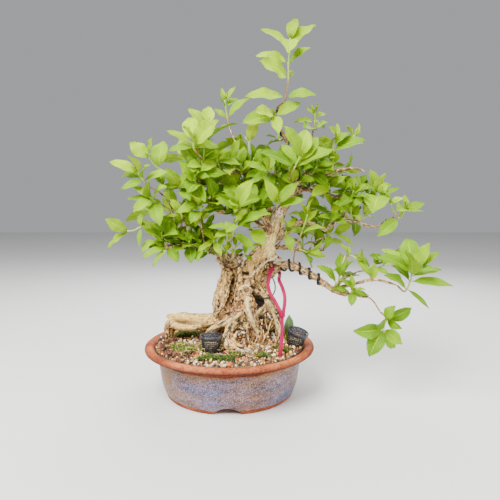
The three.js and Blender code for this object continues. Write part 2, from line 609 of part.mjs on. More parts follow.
    { path: [[67, -6, 194], [70, -13, 202]], pairs: [
      [0.5, [75, -18, 176, .5], [84, -24, 200, .45]],
      [0.95, [59, -26, 217, .45], [81, -6, 216, .5]],
    ] },
  ] },
  { name: "inner_left_high", twig: [[-8, -10, 272], [-13, -18, 279]], shoots: [
    { path: [[-13, -18, 279], [-13, -26, 286]], pairs: [
      [0.4, [15, -36, 277, .45], [-33, -36, 272, .6]],
      [0.95, [-28, -8, 301, .45], [4, -34, 295, .45]],
    ] },
  ] },
  { name: "inner_left_front", twig: [[52, 2, 267], [52, -12, 269], [49, -20, 270]], shoots: [
    { path: [[49, -20, 270], [46, -32, 273]], pairs: [
      [0.4, [28, -34, 256, .45], [51, -14, 290, .5]],
      [0.95, [22, -42, 277, .42], [39, -58, 283, .5]],
    ] },
  ] },
  { name: "inner_left_low", twig: [[-14, -4, 167], [-18, -16, 182]], shoots: [
    { path: [[-18, -16, 182], [-17, -22, 191]], pairs: [
      [0.5, [-36, -30, 177, .36], [-7, -46, 174, .3]],
      [0.95, [-33, -10, 203, .45], [-6, -10, 202, .45]],
    ] },
  ] },
  { name: "inner_left_mid", twig: [[-47, -4, 182], [-50, -14, 203], [-54, -22, 215]], shoots: [
    { path: [[-54, -22, 215], [-56, -27, 224]], pairs: [
      [0.4, [-76, -24, 218, .25], [-40, -6, 210, .55]],
      [0.95, [-68, -34, 239, .5], [-43, -20, 238, .4]],
    ] },
  ] },
  { name: "inner_left_top", twig: [[-34, -19, 247], [-42, -24, 248], [-52, -24, 249]], shoots: [
    { path: [[-52, -24, 249], [-57, -28, 254]], pairs: [
      [0.4, [-79, -10, 247, .45], [-37, -50, 233, .42]],
      [0.95, [-66, -52, 264, .5], [-46, -34, 272, .5]],
    ] },
  ] },
  { name: "base_leaf", twig: null, shoots: [
    { path: [[72, 2, 48], [71, 0, 63], [72, -1, 74]], pairs: [
      [0.9, [74, -4, 96, .5], [62, 4, 76, .4]],
    ] },
  ] },
];

// Sprays at the back, where the pairs follow the rule of growth alone: each a quarter turn from the last.
const backSprays = [
  { name: "back_left_high", from: [-31, 32, 266], to: [[-60, 44, 292], [-24, 58, 298]], size: 42 },
  { name: "back_left_low", from: [-76, 34, 204], to: [[-106, 42, 222], [-84, 66, 222]], size: 42 },
  { name: "back_middle", from: [25, 52, 277], to: [[24, 66, 316], [-8, 74, 290]], size: 40 },
  { name: "back_middle_low", from: [1, 62, 219], to: [[-12, 88, 240], [-38, 74, 238]], size: 40 },
  { name: "back_right", from: [108, 56, 259], to: [[122, 64, 290], [96, 86, 276]], size: 40 },
  { name: "back_right_low", from: [117, 60, 200], to: [[146, 72, 216], [108, 92, 214]], size: 38 },
];
const whorlSizes = [1, 0.85];
const whorlPlaces = [0.5, 0.96];
const whorlSpread = [66, 44]; // degrees from the stem

function whorl(path, k, size, turn) {
  const { curve } = lineOf(path.map((p) => [...p, 1]));
  const at = curve.getPointAt(whorlPlaces[k]);
  const up = curve.getTangentAt(whorlPlaces[k]);
  const side = new THREE.Vector3(0, 0, 1).cross(up).normalize();
  const angle = turn + (k * Math.PI) / 2;
  return [0, Math.PI].map((half) => {
    const out = side.clone().applyAxisAngle(up, angle + half);
    const spread = degrees(whorlSpread[k]);
    const tip = at.clone()
      .addScaledVector(up, size * whorlSizes[k] * Math.cos(spread))
      .addScaledVector(out, size * whorlSizes[k] * Math.sin(spread));
    return [...tip.toArray(), 0.5];
  });
}

for (const { name, from, to, size } of backSprays) {
  const shoots = to.map((end, i) => {
    const middle = from.map((value, k) => 0.45 * value + 0.55 * end[k] + (k === 2 ? 3 : 0));
    const path = [from, middle, end];
    return { path, pairs: whorlPlaces.map((f, k) => [f, ...whorl(path, k, size, 0.5 + i)]) };
  });
  sprays.push({ name, twig: null, shoots });
}

// How deep a point lies in the core of the nearest limb, and the place on its middle line next to it.
function nearestLimb(point) {
  let nearest = { depth: -Infinity };
  for (const { rows, spans } of Object.values(limbs)) {
    const { points, radii } = stationsOf(rows, spans);
    for (let i = 0; i < spans; i++) {
      const along = new THREE.Line3(points[i], points[i + 1]).closestPointToPointParameter(point, true);
      const at = points[i].clone().lerp(points[i + 1], along);
      const depth = limbCore * THREE.MathUtils.lerp(radii[i], radii[i + 1], along) - at.distanceTo(point);
      if (depth > nearest.depth) nearest = { depth, at };
    }
  }
  return nearest;
}

// A twig starts inside the limb that carries it.
function twigRows(twig) {
  const { depth, at } = nearestLimb(vector(twig[0]));
  const points = depth < 0 ? [at.toArray(), ...twig] : twig;
  const last = points.length - 1;
  return points.map((p, i) => [...p, THREE.MathUtils.lerp(twigRadius, twigTipRadius, i / last)]);
}

const woodPieces = new Map();
for (const [name, { rows, sides, spans, lobes }] of Object.entries(limbs)) {
  woodPieces.set(name, limb(rows, sides, spans, lobes));
}
for (const { name, twig } of sprays) {
  if (!twig) continue;
  const rows = twigRows(twig);
  woodPieces.set(name, limb(rows, 3, rows.length - 1));
}
place("wood", "bark", [...woodPieces.values()]);

// Wires: each winds round one limb between two places along it, from the first phase that clears the twigs.

const windings = [
  { name: "wire_leader", limb: "leader", from: 0.3, to: 0.97, turns: 4.5, radius: 1 },
  { name: "wire_right_low", limb: "right4", from: 0.24, to: 0.64, turns: 4.5, radius: 1.4 },
  { name: "wire_right_top", limb: "right1", from: 0.2, to: 0.62, turns: 3.5, radius: 1 },
  { name: "wire_left_low", limb: "left1", from: 0.3, to: 0.9, turns: 5, radius: 1.1 },
  { name: "wire_left_high", limb: "left2", from: 0.2, to: 0.6, turns: 3.5, radius: 1.1 },
];

function helix({ limb: name, from, to, turns, radius }, phase) {
  const { rows, spans } = limbs[name];
  const { points, frames, radii } = stationsOf(rows, spans);
  const steps = Math.round(turns * wireStepsPerTurn);
  const flat = Math.cos(Math.PI / wireStepsPerTurn); // a chord of the coil still clears the limb
  return Array.from({ length: steps + 1 }, (_, i) => {
    const place = THREE.MathUtils.lerp(from, to, i / steps) * spans;
    const k = Math.min(Math.floor(place), spans - 1);
    const between = (list) => list[k].clone().lerp(list[k + 1], place - k);
    const angle = phase + (i / wireStepsPerTurn) * 2 * Math.PI;
    const reach = (THREE.MathUtils.lerp(radii[k], radii[k + 1], place - k) + radius + wireAir) / flat;
    return between(points)
      .addScaledVector(between(frames.normals).normalize(), reach * Math.cos(angle))
      .addScaledVector(between(frames.binormals).normalize(), reach * Math.sin(angle));
  });
}

// A tube with a corner at each point given.
function tubeThrough(points, radius, sides) {
  const tangents = points.map((_, i) => points[Math.min(i + 1, points.length - 1)].clone()
    .sub(points[Math.max(i - 1, 0)]).normalize());
  const normals = [];
  const binormals = [];
  let normal = new THREE.Vector3(0.3, 0.5, 0.8);
  for (const tangent of tangents) {
    normal = normal.clone().addScaledVector(tangent, -normal.dot(tangent)).normalize();
    normals.push(normal);
    binormals.push(tangent.clone().cross(normal));
  }
  return loft(points, { tangents, normals, binormals }, points.map(() => radius), sides);
}

for (const winding of windings) {
  let wire = null;
  for (let k = 0; k < 36 && !wire; k++) {
    const tried = tubeThrough(helix(winding, (k / 36) * 2 * Math.PI), winding.radius, wireSides);
    if (isClear(tried, () => false)) wire = tried;
  }
  place(winding.name, "wire", [wire]);
}

// The guy wire runs from under the low branch round the right-hand root.
const guyRadius = 0.9;
const guyRoute = [[53, -0.6, 142.5], [56, -6, 135], [55.6, -11, 127], [51, -14.9, 120.5],
  [45, -16.55, 119.5], [38.5, -15.2, 119.5]];
place("guy_wire", "wire", [tubeThrough(guyRoute.map(vector), guyRadius, wireSides)]);

// The tie loops over the low branch, is drawn through its head and runs down into the soil.
const tieHead = [63, -37, 105];
const tieLoop = [[62, -37, 106], [55, -29, 118], [49, -23, 128], [47, -18, 139], [50, -11, 149],
  [53.6, -3.2, 158],
  [54.2, 4.8, 161.2], [56.9, 11, 158.4], [60.3, 12.8, 152.3], [62.6, 9.4, 145.9], [62.3, 1.6, 143.4],
  [61, -8, 140.5], [65, -16, 131], [67, -24, 122], [66, -31, 112], [64, -37, 105]];
const tieTail = [[63, -37, 104], [62.5, -46, 83], [60.5, -53, 66], [59, -56, 52]];

function band(route, steps, grow = 0) {
  const [x, y] = [tieThickness / 2 + grow, tieWidth / 2 + grow];
  const section = new THREE.Shape([[-x, -y], [x, -y], [x, y],
    [-x, y]].map(([a, b]) => new THREE.Vector2(a, b)));
  const extrudePath = new THREE.CatmullRomCurve3(route.map(vector));
  return solidOf(new THREE.ExtrudeGeometry(section, { steps, extrudePath, bevelEnabled: false }));
}

const tieHeadSolid = solidOf(new THREE.BoxGeometry(7, 6, 8).translate(...tieHead));
place("cable_tie", "tie", [tieHeadSolid, band(tieLoop, 22), band(tieTail, 5)]);

// Baskets stand in the soil on a spike. Each is a cup with windows, a cake of fertiliser inside and a lid.
const baskets = [
  { name: "front", foot: [-20, -44, 61], turnX: 0, turnY: 0 },
  { name: "right", foot: [79, -17, 60.4], turnX: 9, turnY: 15 },
];

function placeOf({ foot, turnX, turnY }) {
  const turn = new THREE.Euler(degrees(turnX), degrees(turnY), 0);
  return new THREE.Matrix4().makeRotationFromEuler(turn).setPosition(vector(foot));
}

function basketGeometry() {
  const cup = solidOf(turned([[0, 0], [basketFootRadius, 0], [basketTopRadius, basketHeight],
    [basketTopRadius - basketWall, basketHeight], [basketFootRadius - basketWall, basketWall],
    [0, basketWall]],
  basketSides));
  const spike = solidOf(turned([[0, -9], [2.2, 0.6], [0, 0.6]], 8));
  let basket = cup.add(spike);
  const middle = (basketHeight + basketWall) / 2;
  for (let i = 0; i < basketSides / 2; i++) {
    const window = new THREE.BoxGeometry(basketTopRadius, windowWidth, windowHeight)
      .translate(basketTopRadius, 0, middle)
      .rotateZ(((i + 0.25) / (basketSides / 2)) * 2 * Math.PI);
    basket = basket.subtract(solidOf(window));
  }
  return geometryOf(basket);
}

const lidGeometry = turned([[0, 0], [lidRadius - 0.8, 0], [lidRadius, 0.8], [lidRadius, lidHeight - 0.8],
  [lidRadius - 1.2, lidHeight], [0, lidHeight + 0.6]], basketSides).translate(0, 0, basketHeight + 0.3);
const cakeRadius = 8.2;
const cakeGeometry = new THREE.SphereGeometry(cakeRadius, 8, 5).rotateX(Math.PI / 2).scale(1, 1, 0.85)
  .translate(0, 0, basketWall + 0.3 + 0.85 * cakeRadius);
const basketPieces = [["fertiliser_basket", "plastic", basketGeometry()],
  ["basket_lid", "plastic", lidGeometry],
  ["fertiliser_cake", "cake", cakeGeometry]];
const basketHole = turned([[0, -10], [2.9, -seat], [basketFootRadius + seat, -seat],
  [basketTopRadius + seat, basketHeight], [0, basketHeight]], basketSides);
for (const basket of baskets) {
  for (const [name, colour, geometry] of basketPieces) {
    place(`${name}_${basket.name}`, colour, [solidOf(geometry.clone().applyMatrix4(placeOf(basket)))]);
  }
}

// Leaves

const largeOutline = [[0.22, 0.6], [0.45, 1], [0.51, 0.88],
  [0.76, 0.6]]; // [along, half width], base to tip
const largeRib = [0.34, 0.66];
const largeFaces = [[10, 0, 11], [0, 1, 11], [1, 2, 11], [2, 12, 11], [2, 3, 12], [3, 4, 12], [4, 5, 12],
  [5, 6, 12], [6, 7, 12], [7, 8, 12], [8, 11, 12], [8, 9, 11], [9, 10, 11]];
const smallOutline = [[0.42, 1], [0.62, 0.8]];
const smallRib = [0.5];
const smallFaces = [[6, 0, 7], [0, 1, 7], [1, 2, 7], [2, 3, 7], [3, 4, 7], [4, 5, 7], [5, 6, 7]];

// The frame of a leaf: its chord, and the side that its upper face looks to, turned part of the way
// from the stem's direction to the light.
function leafFrame(base, tip, stem, twist) {
  const chord = tip.clone().sub(base).normalize();
  const own = stem.clone().addScaledVector(chord, -stem.dot(chord)).normalize();
  const lit = new THREE.Vector3(0, base.y < crownMiddle ? frontLean : backLean, 1);
  lit.addScaledVector(chord, -lit.dot(chord)).normalize();
  const full = Math.atan2(chord.dot(own.clone().cross(lit)), own.dot(lit));
  const turn = THREE.MathUtils.clamp(lightTurn * full, -mostTurn, mostTurn) + twist;
  const top = own.applyAxisAngle(chord, turn);
  return { chord, top, left: top.clone().cross(chord), length: tip.distanceTo(base) };
}

// A blade: a bowed rib, halves folded up from it, teeth waved up and down, an even thickness. Its corners
// come as an upper and a lower shell, each with its rim first, from the right of the base round to
// the left.
function leafShells(base, tip, stem, width, form, start = 0, grow = 0) {
  const { chord, top, left, length } = leafFrame(base, tip, stem, form.twist);
  const large = length >= longLeaf;
  const rib = large ? largeRib : smallRib;
  const half = 0.5 * width * length + grow;
  const edge = [[start, petioleHalf / half], ...(large ? largeOutline : smallOutline)];
  const stations = [
    ...edge.map(([t, w], i) => [t, -w * half, i]),
    [1, 0, 0],
    ...edge.map(([t, w], i) => [t, w * half, i]).reverse(),
    ...rib.map((t) => [t, 0, 0]),
  ];
  const shells = [0.5, -0.5].map((level) => stations.map(([t, across, tooth]) => {
    const slope = Math.atan(4 * form.bow * (1 - 2 * t));
    const out = top.clone().multiplyScalar(Math.cos(slope)).addScaledVector(chord, -Math.sin(slope));
    const wave = tooth > 1 ? form.wave * half * (tooth % 2 ? -1 : 1) * Math.sign(across) : 0;
    const fold = Math.abs(across) * Math.sin(form.fold);
    return base.clone()
      .addScaledVector(chord, t * length)
      .addScaledVector(top, 4 * form.bow * length * t * (1 - t))
      .addScaledVector(left, across * Math.cos(form.fold))
      .addScaledVector(out, fold + wave + level * (bladeThickness + grow))
      .toArray();
  }));
  return { shells, faces: large ? largeFaces : smallFaces, rim: 2 * edge.length + 1 };
}

function rimFaces(rim, upper, lower, count) {
  const faces = [];
  for (let i = 0; i < count; i++) {
    const j = (i + 1) % rim;
    faces.push([upper[i], lower[i], lower[j]], [upper[i], lower[j], upper[j]]);
  }
  return faces;
}

// A leaf by itself, to try against what is in place.
function leafSolid(base, tip, stem, width, form, start, grow) {
  const { shells, faces, rim } = leafShells(base, tip, stem, width, form, start, grow);
  const upper = shells[0].map((_, i) => i);
  const lower = shells[1].map((_, i) => i + upper.length);
  return solidFrom(shells.flat(), [
    ...faces.map((face) => face.map((i) => upper[i])),
    ...faces.map(([a, b, c]) => [lower[a], lower[c], lower[b]]),
    ...rimFaces(rim, upper, lower, rim),
  ]);
}

// Ways to bend a leaf clear, tried in this order: degrees about the stem, degrees towards its tip, size.
const bends = [1, 0.8, 0.65].flatMap((size) => [0, 12, -12, 24, -24, 38, -38].flatMap((turn) =>
  [0, 12, -12, 26, -26].map((lift) => [turn, lift, size])))
  .sort((a, b) => (b[2] - a[2]) || (Math.hypot(a[0], a[1]) - Math.hypot(b[0], b[1])));

function bentTip(base, tip, stem, [turn, lift, size]) {
  const reach = tip.clone().sub(base).multiplyScalar(size).applyAxisAngle(stem, degrees(turn));
  const hinge = reach.clone().cross(stem).normalize();
  return base.clone().add(reach.applyAxisAngle(hinge, degrees(lift)));
}

// A green shoot: a four-sided stem with a short joint at each pair, square to the leaves that leave it.
function shootPlan({ path, pairs }, stemOfFork) {
  const start = vector(path[0]);
  const ahead = vector(path[1]).sub(start).normalize();
  if (!stemOfFork) start.addScaledVector(ahead, shootGap);
  else if (stemOfFork.root.distanceTo(start) < forkHeight) {
    start.copy(stemOfFork.curve.getPointAt(forkHeight / stemOfFork.curve.getLength()));
  }
  const rows = [start.toArray(), ...path.slice(1)].map((p, i) => [...p,
    THREE.MathUtils.lerp(shootRadius, shootTipRadius, i / (path.length - 1))]);
  const { curve, radiusAt } = lineOf(rows);
  const reach = jointHalf / curve.getLength();
  const joints = pairs.map(([along, ...tips]) => {
    const u = Math.min(along, 1 - 1.5 * reach);
    const at = curve.getPointAt(u);
    const stem = curve.getTangentAt(u);
    const ends = tips.map(vector);
    const across = ends[0].clone().sub(ends[1]);
    across.addScaledVector(stem, -across.dot(stem)).normalize();
    const leaves = tips.map((tip, i) => {
      const out = across.clone().multiplyScalar(i ? -1 : 1);
      const base = at.clone().addScaledVector(out, radiusAt(u) * Math.SQRT1_2);
      return { base, tip: ends[i], width: tip[3] };
    });
    return { u, stem, across, leaves };
  });
  return { rows, root: vector(path[0]), curve, radiusAt, reach, joints };
}

function shootSolid({ curve, radiusAt, reach, joints }) {
  const stations = [{ u: 0, across: joints[0].across }];
  for (const joint of joints) {
    const from = stations[stations.length - 1].u;
    const gap = (joint.u - reach - from) * curve.getLength();
    if (gap > longSpan) stations.push({ u: (from + joint.u - reach) / 2, across: joint.across });
    stations.push({ u: joint.u - reach, across: joint.across, joint });
    stations.push({ u: joint.u + reach, across: joint.across });
  }
  stations.push({ u: 1, across: joints[joints.length - 1].across });

  const points = [];
  let before = null;
  for (const station of stations) {
    const at = curve.getPointAt(station.u);
    const up = curve.getTangentAt(station.u);
    const a = station.across.clone().addScaledVector(up, -station.across.dot(up)).normalize();
    const b = up.clone().cross(a);
    const corners = [1, 3, 5, 7].map((k) => a.clone().multiplyScalar(Math.cos((k * Math.PI) / 4))
      .addScaledVector(b, Math.sin((k * Math.PI) / 4)));
    if (before) {
      const fit = [0, 1, 2, 3].map((m) => corners[m].dot(before[0]));
      corners.push(...corners.splice(0, fit.indexOf(Math.max(...fit))));
    }
    before = corners;
    station.corners = corners;
    station.ring = corners.map((corner) => points.push(at.clone()
      .addScaledVector(corner, radiusAt(station.u)).toArray()) - 1);
  }
  const first = stations[0].ring;
  const last = stations[stations.length - 1].ring;
  const faces = [[first[0], first[2], first[1]], [first[0], first[3], first[2]],
    [last[0], last[1], last[2]], [last[0], last[2], last[3]]];
  for (let i = 0; i + 1 < stations.length; i++) {
    const { joint, corners, ring } = stations[i];
    const above = stations[i + 1].ring;
    for (let j = 0; j < 4; j++) {
      const next = (j + 1) % 4;
      const out = corners[j].clone().add(corners[next]).normalize();
      const leaf = joint && joint.leaves.find(({ base }) => base.clone().sub(curve.getPointAt(joint.u))
        .normalize().dot(out) > 0.9);
      if (!leaf || leaf.dropped) {
        faces.push([ring[j], ring[next], above[next]], [ring[j], above[next], above[j]]);
        continue;
      }
      const { base, tip, width, form } = leaf;
      const { shells, faces: cells, rim } = leafShells(base, tip, joint.stem, width, form);
      const [upper, lower] = shells.map((shell) => shell.map((point) => points.push(point) - 1));
      [upper[0], upper[rim - 1], lower[0], lower[rim - 1]] = [above[j], above[next], ring[j], ring[next]];
      faces.push(...cells.map((cell) => cell.map((k) => upper[k])));
      faces.push(...cells.map(([x, y, z]) => [lower[x], lower[z], lower[y]]));
      faces.push(...rimFaces(rim, upper, lower, rim - 1));
    }
  }
  const used = [...new Set(faces.flat())];
  const renamed = new Map(used.map((old, i) => [old, i]));
  return solidFrom(used.map((i) => points[i]), faces.map((face) => face.map((i) => renamed.get(i))));
}

const plans = new Map();
for (const { name, shoots } of sprays) {
  const main = shootPlan(shoots[0]);
  plans.set(name, [main, ...shoots.slice(1).map((shoot) => shootPlan(shoot, main))]);
}
for (const [name, shoots] of plans) {
  for (const { rows } of shoots) {
    const solid = limb(rows, 4, rows.length - 1);
    placed.push({ node: `spray_${name}`, solid, box: solid.boundingBox(), stem: true });
  }
}

for (const [name, shoots] of plans) {
  const node = `spray_${name}`;
  for (const { joints } of shoots) {
    for (const { stem, leaves } of joints) {
      for (const leaf of leaves) {
        leaf.form = {
          bow: 0.05 + 0.07 * draw(),
          fold: degrees(8 + 14 * draw()),
          wave: 0.05 + 0.08 * draw(),
          twist: degrees(24 * draw() - 12),
        };
        const way = bends.find((bend) => {
          const tip = bentTip(leaf.base, leaf.tip, stem, bend);
          const blade = leafSolid(leaf.base, tip, stem, leaf.width, leaf.form, 0.16, 0.4);
          const whole = leafSolid(leaf.base, tip, stem, leaf.width, leaf.form, 0.03, 0.3);
          return isClear(blade, (other) => other.node === node && other.stem)
            && isClear(whole, (other) => other.node === node);
        });
        leaf.dropped = !way;
        if (!way) continue;
        leaf.tip = bentTip(leaf.base, leaf.tip, stem, way);
        const solid = leafSolid(leaf.base, leaf.tip, stem, leaf.width, leaf.form, 0.16);
        placed.push({ node, solid, box: solid.boundingBox() });
      }
    }
  }
  nodes.set(node, { colour: "leaf", solid: join(shoots.map(shootSolid)) });
}

// Soil with a plain hole for each root, stem, spike and tie end that goes into it
const holes = [
  ...inSoil.map((name) => {
    const { rows, sides, spans, lobes } = limbs[name];
    return limb(rows, sides, spans, lobes, seat);
  }),
  ...baskets.map((basket) => solidOf(basketHole.clone().applyMatrix4(placeOf(basket)))),
  limb(plans.get("base_leaf")[0].rows, 6, 2, 0, 1),
  band(tieTail, 5, seat),
];
nodes.set("pot", { colour: "terracotta", solid: potSolid() });
nodes.set("soil", { colour: "soil", solid: soilSolid(holes) });
nodes.set("drain_net", { colour: "plastic", solid: netSolid() });

// A scrap that a cut or a join leaves loose is dropped, and a hollow that joining seals is filled.
function mainBody(solid) {
  const bodies = solid.decompose();
  return bodies.reduce((main, body) => (body.volume() > main.volume() ? body : main));
}

const plant = new THREE.Group();
for (const [name, { colour, solid }] of nodes) {
  const [color, roughness] = colours[colour];
  const material = new THREE.MeshStandardMaterial({ color, roughness, metalness: 0, flatShading: true });
  const mesh = new THREE.Mesh(geometryOf(mainBody(solid)), material);
  mesh.name = name;
  plant.add(mesh);
}

const middle = new THREE.Box3().setFromObject(plant).getCenter(new THREE.Vector3());
plant.position.set(-middle.x, -middle.y, 0);

const group = new THREE.Group();
group.add(plant);
export default group;
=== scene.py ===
from functools import cache, partial
import math
import random

import bmesh
import bpy
import numpy as np
from mathutils import Euler, Matrix, Vector, noise
from mathutils.kdtree import KDTree


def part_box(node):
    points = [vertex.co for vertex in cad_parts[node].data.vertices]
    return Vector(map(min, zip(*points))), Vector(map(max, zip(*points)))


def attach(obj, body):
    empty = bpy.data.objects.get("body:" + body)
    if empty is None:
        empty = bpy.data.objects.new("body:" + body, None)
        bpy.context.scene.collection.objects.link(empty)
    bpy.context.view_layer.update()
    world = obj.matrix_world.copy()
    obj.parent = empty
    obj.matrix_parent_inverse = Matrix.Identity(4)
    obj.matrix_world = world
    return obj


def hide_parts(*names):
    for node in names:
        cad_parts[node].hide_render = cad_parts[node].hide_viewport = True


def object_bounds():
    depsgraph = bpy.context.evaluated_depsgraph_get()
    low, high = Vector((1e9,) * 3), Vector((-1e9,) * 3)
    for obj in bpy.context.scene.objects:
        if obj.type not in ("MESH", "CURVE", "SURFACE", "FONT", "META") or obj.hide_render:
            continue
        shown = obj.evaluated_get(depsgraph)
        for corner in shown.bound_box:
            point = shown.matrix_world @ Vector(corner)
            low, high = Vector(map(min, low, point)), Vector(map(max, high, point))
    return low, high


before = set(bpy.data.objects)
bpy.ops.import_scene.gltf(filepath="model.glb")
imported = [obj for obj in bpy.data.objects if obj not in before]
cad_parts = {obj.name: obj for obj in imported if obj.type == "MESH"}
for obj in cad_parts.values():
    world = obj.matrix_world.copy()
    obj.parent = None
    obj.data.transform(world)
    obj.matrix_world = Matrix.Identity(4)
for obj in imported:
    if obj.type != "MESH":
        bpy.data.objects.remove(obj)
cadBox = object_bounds()
print("frame loaded")

# Rows and routes in this file are millimetres round the axis of the pot, with z = 0 under its foot ring.
# The frame is in metres round the middle of the whole plant.
potLow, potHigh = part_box("pot")
potMiddle = np.array([(potLow.x + potHigh.x) / 2, (potLow.y + potHigh.y) / 2, 0.0])
plantLow, plantHigh = (np.array(corner) for corner in cadBox)
# the same corners in millimetres; nothing that grows passes them
plantFrom, plantTo = (plantLow - potMiddle) * 1000 + 0.05, (plantHigh - potMiddle) * 1000 - 0.05


def toFrame(points):
    return np.asarray(points, float) / 1000 + potMiddle


# Curves, as the solids were drawn: centripetal Catmull-Rom lines and frames carried along them

def catmull(points, t):
    points = np.asarray(points, float)
    padded = np.vstack([2 * points[0] - points[1], points, 2 * points[-1] - points[-2]])
    t = np.clip(t, 0, 1) * (len(points) - 1)
    k = np.minimum(t.astype(int), len(points) - 2)
    w = (t - k)[:, None]
    p0, p1, p2, p3 = (padded[k + i] for i in range(4))
    d0, d1, d2 = (np.linalg.norm(b - a, axis=1)[:, None] ** 0.5 for a, b in ((p0, p1), (p1, p2), (p2, p3)))
    m1 = ((p1 - p0) / d0 - (p2 - p0) / (d0 + d1) + (p2 - p1) / d1) * d1
    m2 = ((p2 - p1) / d1 - (p3 - p1) / (d1 + d2) + (p3 - p2) / d2) * d1
    return p1 + m1 * w + (3 * (p2 - p1) - 2 * m1 - m2) * w**2 + (2 * (p1 - p2) + m1 + m2) * w**3


def unit(vectors):
    return vectors / np.linalg.norm(vectors, axis=-1, keepdims=True)


class Line:  # a smooth line through rows of [x, y, z, radius], read by its share of the length
    def __init__(self, rows):
        self.rows = np.asarray(rows, float)
        self.steps = np.linspace(0, 1, 201)
        dense = catmull(self.rows[:, :3], self.steps)
        self.run = np.concatenate([[0], np.cumsum(np.linalg.norm(np.diff(dense, axis=0), axis=1))])
        self.length = self.run[-1]

    def share(self, u):
        return np.interp(np.asarray(u, float) * self.length, self.run, self.steps)

    def point(self, u):
        return catmull(self.rows[:, :3], np.atleast_1d(self.share(u)))

    def tangent(self, u):
        t = np.atleast_1d(self.share(u))
        return unit(catmull(self.rows[:, :3], t + 1e-4) - catmull(self.rows[:, :3], t - 1e-4))

    def radius(self, u):
        return np.interp(np.atleast_1d(self.share(u)), np.linspace(0, 1, len(self.rows)), self.rows[:, 3])

    def places(self, step, least=2):
        return np.linspace(0, 1, max(least, int(self.length / step)))

    def sections(self, places):  # middles, directions and two normals that don't twist
        tangents = self.tangent(places)
        return self.point(places), tangents, *framesAlong(tangents)


def turn(vectors, axis, angle):  # Rodrigues
    axis = unit(np.asarray(axis, float))
    vectors = np.asarray(vectors, float)
    return (vectors * math.cos(angle) + np.cross(axis, vectors) * math.sin(angle)
            + axis * (vectors @ axis)[..., None] * (1 - math.cos(angle)))


def framesAlong(tangents):
    smallest = 2 - int(np.argmin(np.abs(tangents[0][::-1])))
    side = unit(np.cross(tangents[0], np.eye(3)[smallest]))
    normals = [np.cross(tangents[0], side)]
    for before, after in zip(tangents, tangents[1:]):
        bend = np.cross(before, after)
        size = np.linalg.norm(bend)
        normal = normals[-1]
        if size > 1e-9:
            normal = turn(normal, bend, math.acos(max(-1, min(1, float(before @ after)))))
        normals.append(normal)
    normals = np.array(normals)
    return normals, np.cross(tangents, normals)


# Materials

def linear(code):
    channels = [int(code[i:i + 2], 16) / 255 for i in (1, 3, 5)]
    return [c / 12.92 if c <= 0.04045 else ((c + 0.055) / 1.055) ** 2.4 for c in channels] + [1.0]


mixed = {"data_type": "RGBA"}
multiplied = {**mixed, "blend_type": "MULTIPLY"}


# Adds a node. Values go to its live inputs in their order, named ones to the input or setting of that name.
# It gives the node's first live output, or the one that out names.
def addNode(tree, kind, *values, out=None, stops=(), **named):
    node = tree.nodes.new("ShaderNode" + kind)
    for name, value in named.items():
        if name not in node.inputs:
            setattr(node, name, value)
    filled = list(zip([socket for socket in node.inputs if socket.enabled], values))
    filled += [(node.inputs[name], value) for name, value in named.items() if name in node.inputs]
    for socket, value in filled:
        if isinstance(value, bpy.types.NodeSocket):
            tree.links.new(value, socket)
        else:
            socket.default_value = linear(value) if isinstance(value, str) else value
    if stops:
        elements = node.color_ramp.elements
        elements[0].position, elements[1].position = stops[0][0], stops[-1][0]
        for place, _ in stops[1:-1]:
            elements.new(place)
        for element, (_, code) in zip(elements, stops):
            element.color = linear(code)
    return node.outputs[out] if out else next((socket for socket in node.outputs if socket.enabled), None)


def startMaterial(name, roughness, **settings):
    made = bpy.data.materials.new(name)
    made.use_nodes = True
    made.node_tree.nodes.clear()
    add = partial(addNode, made.node_tree)
    add("OutputMaterial", add("BsdfPrincipled", Roughness=roughness, **settings))
    return made, add, add("TexCoord", out="Object")


def closeMaterial(made, colour, **skin):
    shader = made.node_tree.nodes["Principled BSDF"].inputs
    for name, value in {"Base Color": colour, **skin}.items():
        made.node_tree.links.new(value, shader[name])
    return made


# Meshes

def meshOf(bm, name="template"):
    mesh = bpy.data.meshes.new(name)
    bm.to_mesh(mesh)
    bm.free()
    return mesh


def addObject(name, data):
    made = bpy.data.objects.new(name, data)
    bpy.context.collection.objects.link(made)
    return made


def vectorsOf(mesh, kind="co"):
    values = np.zeros(len(mesh.vertices) * 3, np.float32)
    mesh.vertices.foreach_get(kind, values)
    return values.reshape(-1, 3).astype(float)


def addMark(mesh, name, values, alpha=1):  # a value for each corner, which a material reads by its name
    wide = np.ones((len(mesh.vertices), 4), np.float32)
    wide[:, :3], wide[:, 3] = values, alpha
    mesh.attributes.new(name, "FLOAT_COLOR", "POINT").data.foreach_set("color", wide.ravel())


# A copy of a template mesh with its corners moved to points in mm
def addCopy(bm, template, points, **marks):
    patch = template.copy()
    patch.vertices.foreach_set("co", toFrame(points).astype(np.float32).ravel())
    for name, values in marks.items():
        addMark(patch, name, values)
    bm.from_mesh(patch)
    bpy.data.meshes.remove(patch)


@cache
def gridOf(columns, rows):
    bm = bmesh.new()
    bm.loops.layers.uv.new("UVMap")
    bmesh.ops.create_grid(bm, x_segments=columns, y_segments=rows, size=0.5, calc_uvs=True)
    return meshOf(bm)


# Rings of corners become a skin, faces out where the corners run round from normal to binormal.
def addSweep(bm, rings, **marks):
    rows, columns = rings.shape[:2]
    around = [*range(columns), 0]
    marks = {name: values[:, around].reshape(-1, 3) for name, values in marks.items()}
    addCopy(bm, gridOf(columns, rows - 1), rings[:, around].reshape(-1, 3), **marks)


